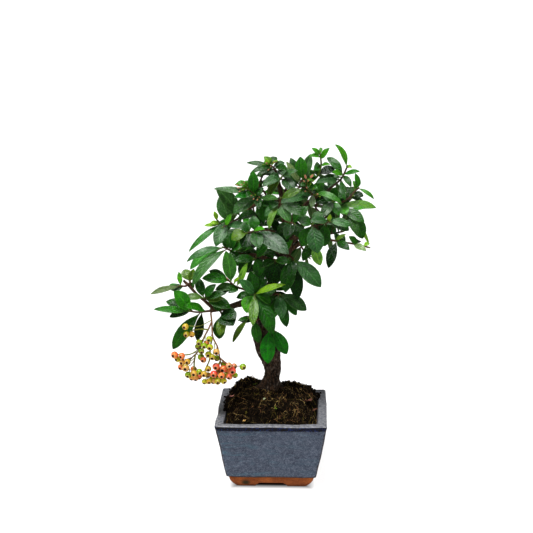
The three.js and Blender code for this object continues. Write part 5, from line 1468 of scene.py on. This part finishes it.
def add_node(tree, kind, sockets=(), out=0, **settings):
    """Adds a node, fills its sockets and returns what it gives out."""
    made = tree.nodes.new(kind)
    for key, value in settings.items():
        setattr(made, key, value)
    for key, value in dict(sockets).items():
        fill(tree, made.inputs[key], value)
    return Value(tree, made.outputs[out])


def fill(tree, socket, value):
    """Links a socket to what a node gives out, or sets it. A colour is red, green and blue."""
    if isinstance(value, Value):
        tree.links.new(value.socket, socket)
    elif socket.type == "RGBA":
        socket.default_value = (*value, 1)
    else:
        socket.default_value = value


class Value:
    """What a node gives out. Sums, products and spans of it add the nodes that work them out."""

    def __init__(self, tree, socket):
        self.tree = tree
        self.socket = socket

    def math(self, operation, other=0.0):
        return add_node(self.tree, "ShaderNodeMath", {0: self, 1: other}, operation=operation)

    def __add__(self, other):
        return self.math("ADD", other)

    def __sub__(self, other):
        return self.math("SUBTRACT", other)

    def __mul__(self, other):
        return self.math("MULTIPLY", other)

    def __abs__(self):
        return self.math("ABSOLUTE")

    def span(self, low, high, to_low=0.0, to_high=1.0):
        """The value, carried from one span to another and held inside it."""
        return add_node(self.tree, "ShaderNodeMapRange", {
            "Value": self, "From Min": low, "From Max": high, "To Min": to_low, "To Max": to_high,
        })

    def parts(self):
        """The three numbers of a vector."""
        split = self.tree.nodes.new("ShaderNodeSeparateXYZ")
        fill(self.tree, split.inputs[0], self)
        return [Value(self.tree, socket) for socket in split.outputs]


class Finish:
    """A material, whose colour is built up in layers."""

    def __init__(self, name, is_toned=False):
        self.material = bpy.data.materials.new(name)
        self.material.use_nodes = True
        self.tree = self.material.node_tree
        self.here = self.place()
        self.colour = self.attribute("tone", "Color") if is_toned else None

    def node(self, kind, sockets=(), out=0, **settings):
        return add_node(self.tree, kind, sockets, out, **settings)

    def place(self, scale=(1, 1, 1)):
        """Object coordinates, in millimetres, stretched by a scale."""
        here = self.node("ShaderNodeTexCoord", out="Object")
        return self.node("ShaderNodeMapping", {"Vector": here, "Scale": [1000 * s for s in scale]})

    def attribute(self, name, out):
        return self.node("ShaderNodeAttribute", out=out, attribute_name=name)

    def map(self):
        """Places across and along a blade, or across and up a berry, from its UV map."""
        return self.node("ShaderNodeUVMap", uv_map="map").parts()[:2]

    def noise(self, scale, detail=3, roughness=0.5, distortion=0, where=None):
        return self.node("ShaderNodeTexNoise", {
            "Vector": where or self.here, "Scale": scale, "Detail": detail, "Roughness": roughness,
            "Distortion": distortion,
        }, "Fac")

    def voronoi(self, scale, where=None, feature="F1"):
        sockets = {"Vector": where or self.here, "Scale": scale}
        return self.node("ShaderNodeTexVoronoi", sockets, "Distance", feature=feature)

    def blend(self, share, a, b, mode="MIX"):
        sockets = {"Factor": share, 6: a, 7: b}
        return self.node("ShaderNodeMix", out=2, data_type="RGBA", blend_type=mode, sockets=sockets)

    def lay(self, share, colour, mode="MIX"):
        """Lays a colour over the colour so far."""
        self.colour = self.blend(share, self.colour, colour, mode)

    def done(self, height=None, depth=0, **values):
        """The material, with its colour, a relief of a depth in millimetres and other values."""
        if height:
            relief = {"Height": height, "Distance": depth * MM, "Strength": 1.0}
            values["Normal"] = self.node("ShaderNodeBump", relief)
        inputs = self.tree.nodes["Principled BSDF"].inputs
        for key, value in {"Base_Color": self.colour, **values}.items():
            fill(self.tree, inputs[key.replace("_", " ")], value)
        return self.material


def leaf_veins(finish):
    """How close a place of the blade is to the midrib, to a side vein, to the middle between two
    side veins and to the margin."""
    u, v = finish.map()
    off = abs(u - 0.5) * 2
    saw = abs((v * 8 - off * 1.9).math("FRACT") - 0.5)
    inside = off.span(0.7, 0.95, 1, 0)
    vein, pucker = saw.span(0.0, 0.12, 1, 0) * inside, saw.span(0.0, 0.42) * inside
    return off.span(0.03, 0.12, 1, 0), vein, pucker, off.span(0.86, 0.98)


def make_leaf_top():
    finish = Finish("leaf_upper_face", True)
    pale = finish.blend(1.0, finish.colour, (2.2, 1.8, 2.0), "MULTIPLY")
    midrib, vein, pucker, margin = leaf_veins(finish)
    blotch = finish.noise(0.2, 4, 0.6)
    fine = finish.noise(0.75, 4, 0.7)
    finish.lay(blotch.span(0.38, 0.66), (0.42, 0.52, 0.42), "MULTIPLY")
    # Fine speckles lightened towards grey are painted sheen; the same noise also roughens the relief.
    finish.lay(fine.span(0.44, 0.66, 0, 0.6), (2.3, 1.7, 2.3), "MULTIPLY")
    finish.lay(midrib * 0.7, pale)
    finish.lay(vein * 0.2, pale)
    finish.lay(margin * 0.45, pale)
    height = pucker * 0.55 - midrib * 0.8 + fine * 1.5
    rough = blotch.span(0.35, 0.65, 0.17, 0.34)
    coat = {"Coat_Weight": 0.17, "Coat_Roughness": 0.2}
    return finish.done(height, 0.45, Roughness=rough, Specular_IOR_Level=0.55, **coat)


def make_leaf_under():
    finish = Finish("leaf_lower_face", True)
    midrib, vein, _, _ = leaf_veins(finish)
    fine = finish.noise(0.9, 4, 0.6)
    finish.lay(0.5, (0.13, 0.20, 0.06))
    finish.lay(fine.span(0.4, 0.7, 0, 0.5), (0.75, 0.82, 0.75), "MULTIPLY")
    finish.lay(midrib * 0.6, (0.28, 0.36, 0.12))
    finish.lay(vein * 0.2, (0.09, 0.14, 0.05))
    return finish.done(midrib + vein * 0.5, 0.3, Roughness=0.6, Specular_IOR_Level=0.2)


def make_twig():
    finish = Finish("young_twig", True)
    grain = finish.noise(1.8, 4, 0.7)
    finish.lay(grain.span(0.4, 0.65), (0.45, 0.42, 0.4), "MULTIPLY")
    return finish.done(grain, 0.3, Roughness=0.55)


def make_bark():
    finish = Finish("bark")
    tall = finish.place((1, 1, 0.32))
    broad = finish.noise(0.07, 4, 0.6)
    streak = finish.noise(0.55, 6, 0.7, 0.6, where=tall)
    grain = finish.noise(1.2, 5, 0.7, where=tall)
    crack = finish.voronoi(0.42, tall, "DISTANCE_TO_EDGE")
    # Pale grey patches, placed by noise and strongest on the streaks.
    pale_grey_patches = finish.noise(0.13, 3, 0.6).span(0.55, 0.66, 0, 0.75) * streak.span(0.4, 0.6)
    young = finish.blend(streak.span(0.4, 0.65), (0.070, 0.032, 0.014), (0.165, 0.095, 0.048))
    finish.colour = finish.blend(
        broad.span(0.38, 0.62), (0.008, 0.004, 0.0018), (0.036, 0.018, 0.0085))
    finish.lay(streak.span(0.46, 0.62, 0, 0.85), (0.125, 0.064, 0.033))
    finish.lay(grain.span(0.53, 0.66, 0, 0.8), (0.260, 0.205, 0.160))
    finish.lay(pale_grey_patches, (0.270, 0.225, 0.190))
    finish.lay(finish.attribute("youth", "Fac"), young)
    # The cracks are darker: painted shade in the creases.
    finish.lay(crack.span(0.0, 0.09, 0.75, 0), (0.006, 0.004, 0.003))
    height = streak + grain * 0.5 + crack.span(0.0, 0.14, -0.5, 0)
    return finish.done(height, 1.3, Roughness=0.75, Specular_IOR_Level=0.2)


def make_berry_skin():
    finish = Finish("berry_skin", True)
    _, v = finish.map()
    patch = finish.noise(0.3)
    fleck = finish.voronoi(1.3)
    finish.lay(patch.span(0.44, 0.66, 0, 0.55), (0.42, 0.42, 0.02))
    finish.lay(v.span(0.82, 0.92, 0, 0.4), (0.86, 0.44, 0.24))
    finish.lay(v.span(0.925, 0.97, 0, 0.85), (0.09, 0.045, 0.03))
    finish.lay(v.span(0.0, 0.3, 0.45, 0), (0.30, 0.38, 0.02))
    finish.lay(fleck.span(0.05, 0.16, 0.3, 0), (0.85, 0.7, 0.4))
    flesh = {"Subsurface_Weight": 0.12, "Subsurface_Radius": (0.8, 0.3, 0.15)}
    return finish.done(patch, 0.4, Roughness=0.25, **flesh, Subsurface_Scale=0.001)


def make_calyx():
    finish = Finish("dried_calyx", True)
    grain = finish.noise(2.5, 3, 0.6)
    finish.lay(grain.span(0.45, 0.7, 0, 0.5), (0.06, 0.035, 0.015))
    return finish.done(grain, 0.4, Roughness=0.9, Specular_IOR_Level=0.1)


def make_glaze():
    finish = Finish("grey_blue_glaze")
    x, y, z = finish.here.parts()
    east, north = x + MIDDLE[0], y + MIDDLE[1]
    broad = finish.noise(0.035)
    streak = finish.noise(0.13, 5, 0.65, where=finish.place((0.35, 0.35, 1.7)))
    mottle = finish.noise(0.30, 6, 0.75, where=finish.place((1, 1, 1.3)))
    canvas = finish.noise(0.85, 3, 0.7, where=finish.place((1, 1, 1.6)))
    spots = finish.voronoi(0.2)
    ragged = finish.noise(0.5, 5, 0.75) * 4.4
    finish.colour = finish.blend(
        broad.span(0.38, 0.62), (0.062, 0.074, 0.108), (0.076, 0.092, 0.130))
    finish.lay(mottle.span(0.40, 0.50, 0.5, 0), (0.026, 0.033, 0.054))
    finish.lay(mottle.span(0.51, 0.62, 0, 0.5), (0.165, 0.195, 0.250))
    finish.lay(canvas.span(0.52, 0.64, 0, 0.7), (0.185, 0.215, 0.270))
    finish.lay(canvas.span(0.36, 0.47, 0.7, 0), (0.030, 0.040, 0.066))
    finish.lay(streak.span(0.5, 0.66) * x.span(-60, 20, 0.8, 0.15), (0.075, 0.165, 0.215))
    finish.lay(spots.span(0.03, 0.12, 0.75, 0), (0.020, 0.022, 0.035))
    # The ragged dark line under the rim, with blue in it
    depth = z + (ragged - 2.2)
    band = depth.span(68.6, 69.8) * z.span(73.6, 74.3, 1, 0)
    blot = finish.noise(0.7, 3, 0.6).span(0.54, 0.62)
    finish.lay(band * 0.96, finish.blend(blot, (0.008, 0.006, 0.006), (0.014, 0.032, 0.150)))
    # Painted light: the lip and the inner wall, the faces that look up or into the pot, are paler as if
    # lit and reflecting the pale surroundings, fading out towards the soil as painted shade
    to_east, to_north, facing_up = finish.node("ShaderNodeNewGeometry", out="Normal").parts()
    outward = east * to_east + north * to_north
    painted_light_side = facing_up.span(0.3, 0.75).math("MAXIMUM", outward.span(-40, -20, 1, 0))
    painted_lip_light = finish.blend(
        mottle.span(0.42, 0.58), (0.125, 0.130, 0.150), (0.350, 0.350, 0.370))
    finish.lay(painted_light_side * z.span(60, 70) * 0.9, painted_lip_light)
    # Bare clay at the lower edge and the corners
    foot = depth.span(GLAZE_BOTTOM + 0.6, GLAZE_BOTTOM + 1.8, 0.85, 0)
    finish.lay(foot, (0.050, 0.026, 0.018))
    off_corner = abs(abs(east) - abs(north)) + mottle.span(0.4, 0.6, -0.8, 1.2)
    finish.lay(off_corner.span(0.4, 2.2, 0.7, 0) * z.span(72, 69), (0.060, 0.036, 0.028))
    height = finish.noise(0.09) + mottle * 0.2 + spots.span(0.0, 0.09, -0.25, 0)
    rough = mottle.span(0.3, 0.7, 0.32, 0.5)
    return finish.done(height, 1.0, Roughness=rough, Specular_IOR_Level=0.4)


def make_terracotta():
    finish = Finish("terracotta")
    broad = finish.noise(0.09, 4, 0.6)
    grain = finish.noise(1.0, 5, 0.7)
    finish.colour = finish.blend(
        broad.span(0.35, 0.65), (0.225, 0.055, 0.009), (0.400, 0.118, 0.025))
    finish.lay(grain.span(0.45, 0.65, 0, 0.7), (0.100, 0.026, 0.007))
    # Darker towards the bottom.
    finish.lay(finish.here.parts()[2].span(0, 5, 0.6, 0), (0.085, 0.030, 0.010))
    sockets = {0: finish.here, 1: (-20, -51, 6)}
    smudge = finish.node("ShaderNodeVectorMath", sockets, "Value", operation="DISTANCE")
    finish.lay((smudge + grain * 6).span(5, 9, 0.85, 0), (0.018, 0.024, 0.006))
    return finish.done(grain, 0.5, Roughness=0.75, Specular_IOR_Level=0.25)


def make_peat():
    finish = Finish("peat")
    broad = finish.noise(0.16, 4, 0.6)
    fine = finish.noise(0.9, 6, 0.75)
    finish.colour = finish.blend(
        broad.span(0.38, 0.62), (0.003, 0.0018, 0.001), (0.009, 0.0055, 0.0025))
    finish.lay(fine.span(0.56, 0.72, 0, 0.7), (0.045, 0.028, 0.010))
    return finish.done(fine, 1.4, Roughness=0.95, Specular_IOR_Level=0.08)


def make_crumb():
    finish = Finish("peat_crumb", True)
    fine = finish.noise(0.8, 4, 0.7)
    earth = finish.blend(fine.span(0.42, 0.62), (0.004, 0.0026, 0.0014), (0.026, 0.015, 0.006))
    finish.lay(1.0, earth, "MULTIPLY")
    return finish.done(fine, 0.8, Roughness=0.95, Specular_IOR_Level=0.08)


def make_fibre():
    finish = Finish("peat_fibre", True)
    fine = finish.noise(0.5, 3, 0.6)
    finish.lay(fine.span(0.42, 0.6, 0, 0.8), (0.25, 0.22, 0.2), "MULTIPLY")
    return finish.done(Roughness=0.8, Specular_IOR_Level=0.15)


# Stage

def make_camera():
    data = bpy.data.cameras.new("camera")
    camera = show("camera", data)
    camera.location = Vector((EYE - MIDDLE) * MM)
    camera.rotation_euler = (math.radians(90 - CAMERA_TILT), 0, math.radians(CAMERA_TURN))
    data.sensor_width = 36
    data.lens = CAMERA_LENS
    data.clip_start = 0.05
    bpy.context.scene.camera = camera


def make_stage():
    """A pale round floor whose edge sweeps up into a backdrop on every side."""
    bm = bmesh.new()
    ring = bmesh.ops.create_circle(bm, cap_ends=True, segments=96, radius=STAGE_RADIUS)["verts"]
    edges = list({edge for vert in ring for edge in vert.link_edges})
    for k in range(1, STAGE_STEPS + 1):
        verts, _, edges = extruded(bm, edges)
        angle = math.radians(90 * k / STAGE_STEPS)
        reach = STAGE_RADIUS + STAGE_HEIGHT * math.sin(angle)
        for vert in verts:
            out = vert.co.xy.normalized() * reach
            vert.co = Vector((out.x, out.y, STAGE_HEIGHT * (1 - math.cos(angle))))
    mesh = mesh_of(bm, "floor")
    mesh.shade_smooth()
    floor = show("floor", mesh)
    floor.visible_glossy = False
    finish = Finish("pale_floor")
    x, y, z = finish.here.parts()
    # Painted shadow: under and just round the pot the floor is darker and glows less.
    beside = abs(x + MIDDLE[0]).math("MAXIMUM", abs(y + MIDDLE[1]))
    painted_shadow_under_pot = beside.span(FOOT_WIDTH / 2 - 4, FOOT_WIDTH / 2 + 8, 1, 0)
    finish.colour = finish.blend(painted_shadow_under_pot, (0.26, 0.26, 0.26), (0.05, 0.04, 0.035))
    glow = {
        "Emission_Color": (1, 1, 1),
        "Emission_Strength": z.span(0, 700, 0.76, 0.95) * painted_shadow_under_pot.span(0, 1, 1, 0),
    }
    mesh.materials.append(finish.done(Roughness=0.9, Specular_IOR_Level=0.0, **glow))


def add_sun(name, energy, angle, direction):
    data = bpy.data.lights.new(name, "SUN")
    data.energy = energy
    data.angle = math.radians(angle)
    sun = show(name, data)
    sun.rotation_mode = "QUATERNION"
    sun.rotation_quaternion = Vector(direction).to_track_quat("-Z", "Y")
    return sun


def make_lights():
    world = bpy.data.worlds.new("studio")
    world.use_nodes = True
    background = world.node_tree.nodes["Background"]
    background.inputs["Color"].default_value = (1, 1, 1, 1)
    background.inputs["Strength"].default_value = 0.05
    bpy.context.scene.world = world
    add_sun("softbox", 3.2, 28, (0.25, 0.4, -1))
    add_sun("sheen", 1.2, 40, (-0.15, -0.1, -1)).visible_diffuse = False
    view = bpy.context.scene.view_settings
    view.view_transform = "Standard"
    view.gamma = VIEW_GAMMA
    view.exposure = VIEW_EXPOSURE


# Assembly

make_camera()
make_stage()
make_lights()

leaf_materials = [make_leaf_top(), make_leaf_under(), make_twig()]
limbs = {name: drawn_limb(*drawn, BRANCH_STEP) for name, drawn in LIMBS.items()}
stems = {spray.name: make_stem(spray, limbs) for spray in SPRAYS}
stalks = [drawn_limb(path, TWIG_RADII, TWIG_STEP) for path in BUNCH_STALKS]
berries = place_berries(stalks)
bunch_points = [row for stalk in stalks for row in limb_points("berry_bunch", stalk)]
bunch_points += [
    ("berry_bunch", berry.centre, berry.radius) for berry in berries if not berry.is_extra
]
placed_leaves = place_leaves(stems, limbs, bunch_points)

make_wood_piece(limbs, make_bark())
for number, spray in enumerate(SPRAYS):
    make_spray_piece(spray, stems[spray.name], placed_leaves, leaf_materials, number)
make_inner_leaves(placed_leaves, leaf_materials)
make_bunch_piece(stalks, berries, [make_berry_skin(), make_calyx(), leaf_materials[2]])
make_glazed_shell(make_glaze())
make_terracotta_base(make_terracotta())
make_soil_lump(make_peat())
make_soil_crumbs(make_crumb())
fibre = make_fibre()
make_soil_fibres(fibre)
make_soil_scraps(fibre)
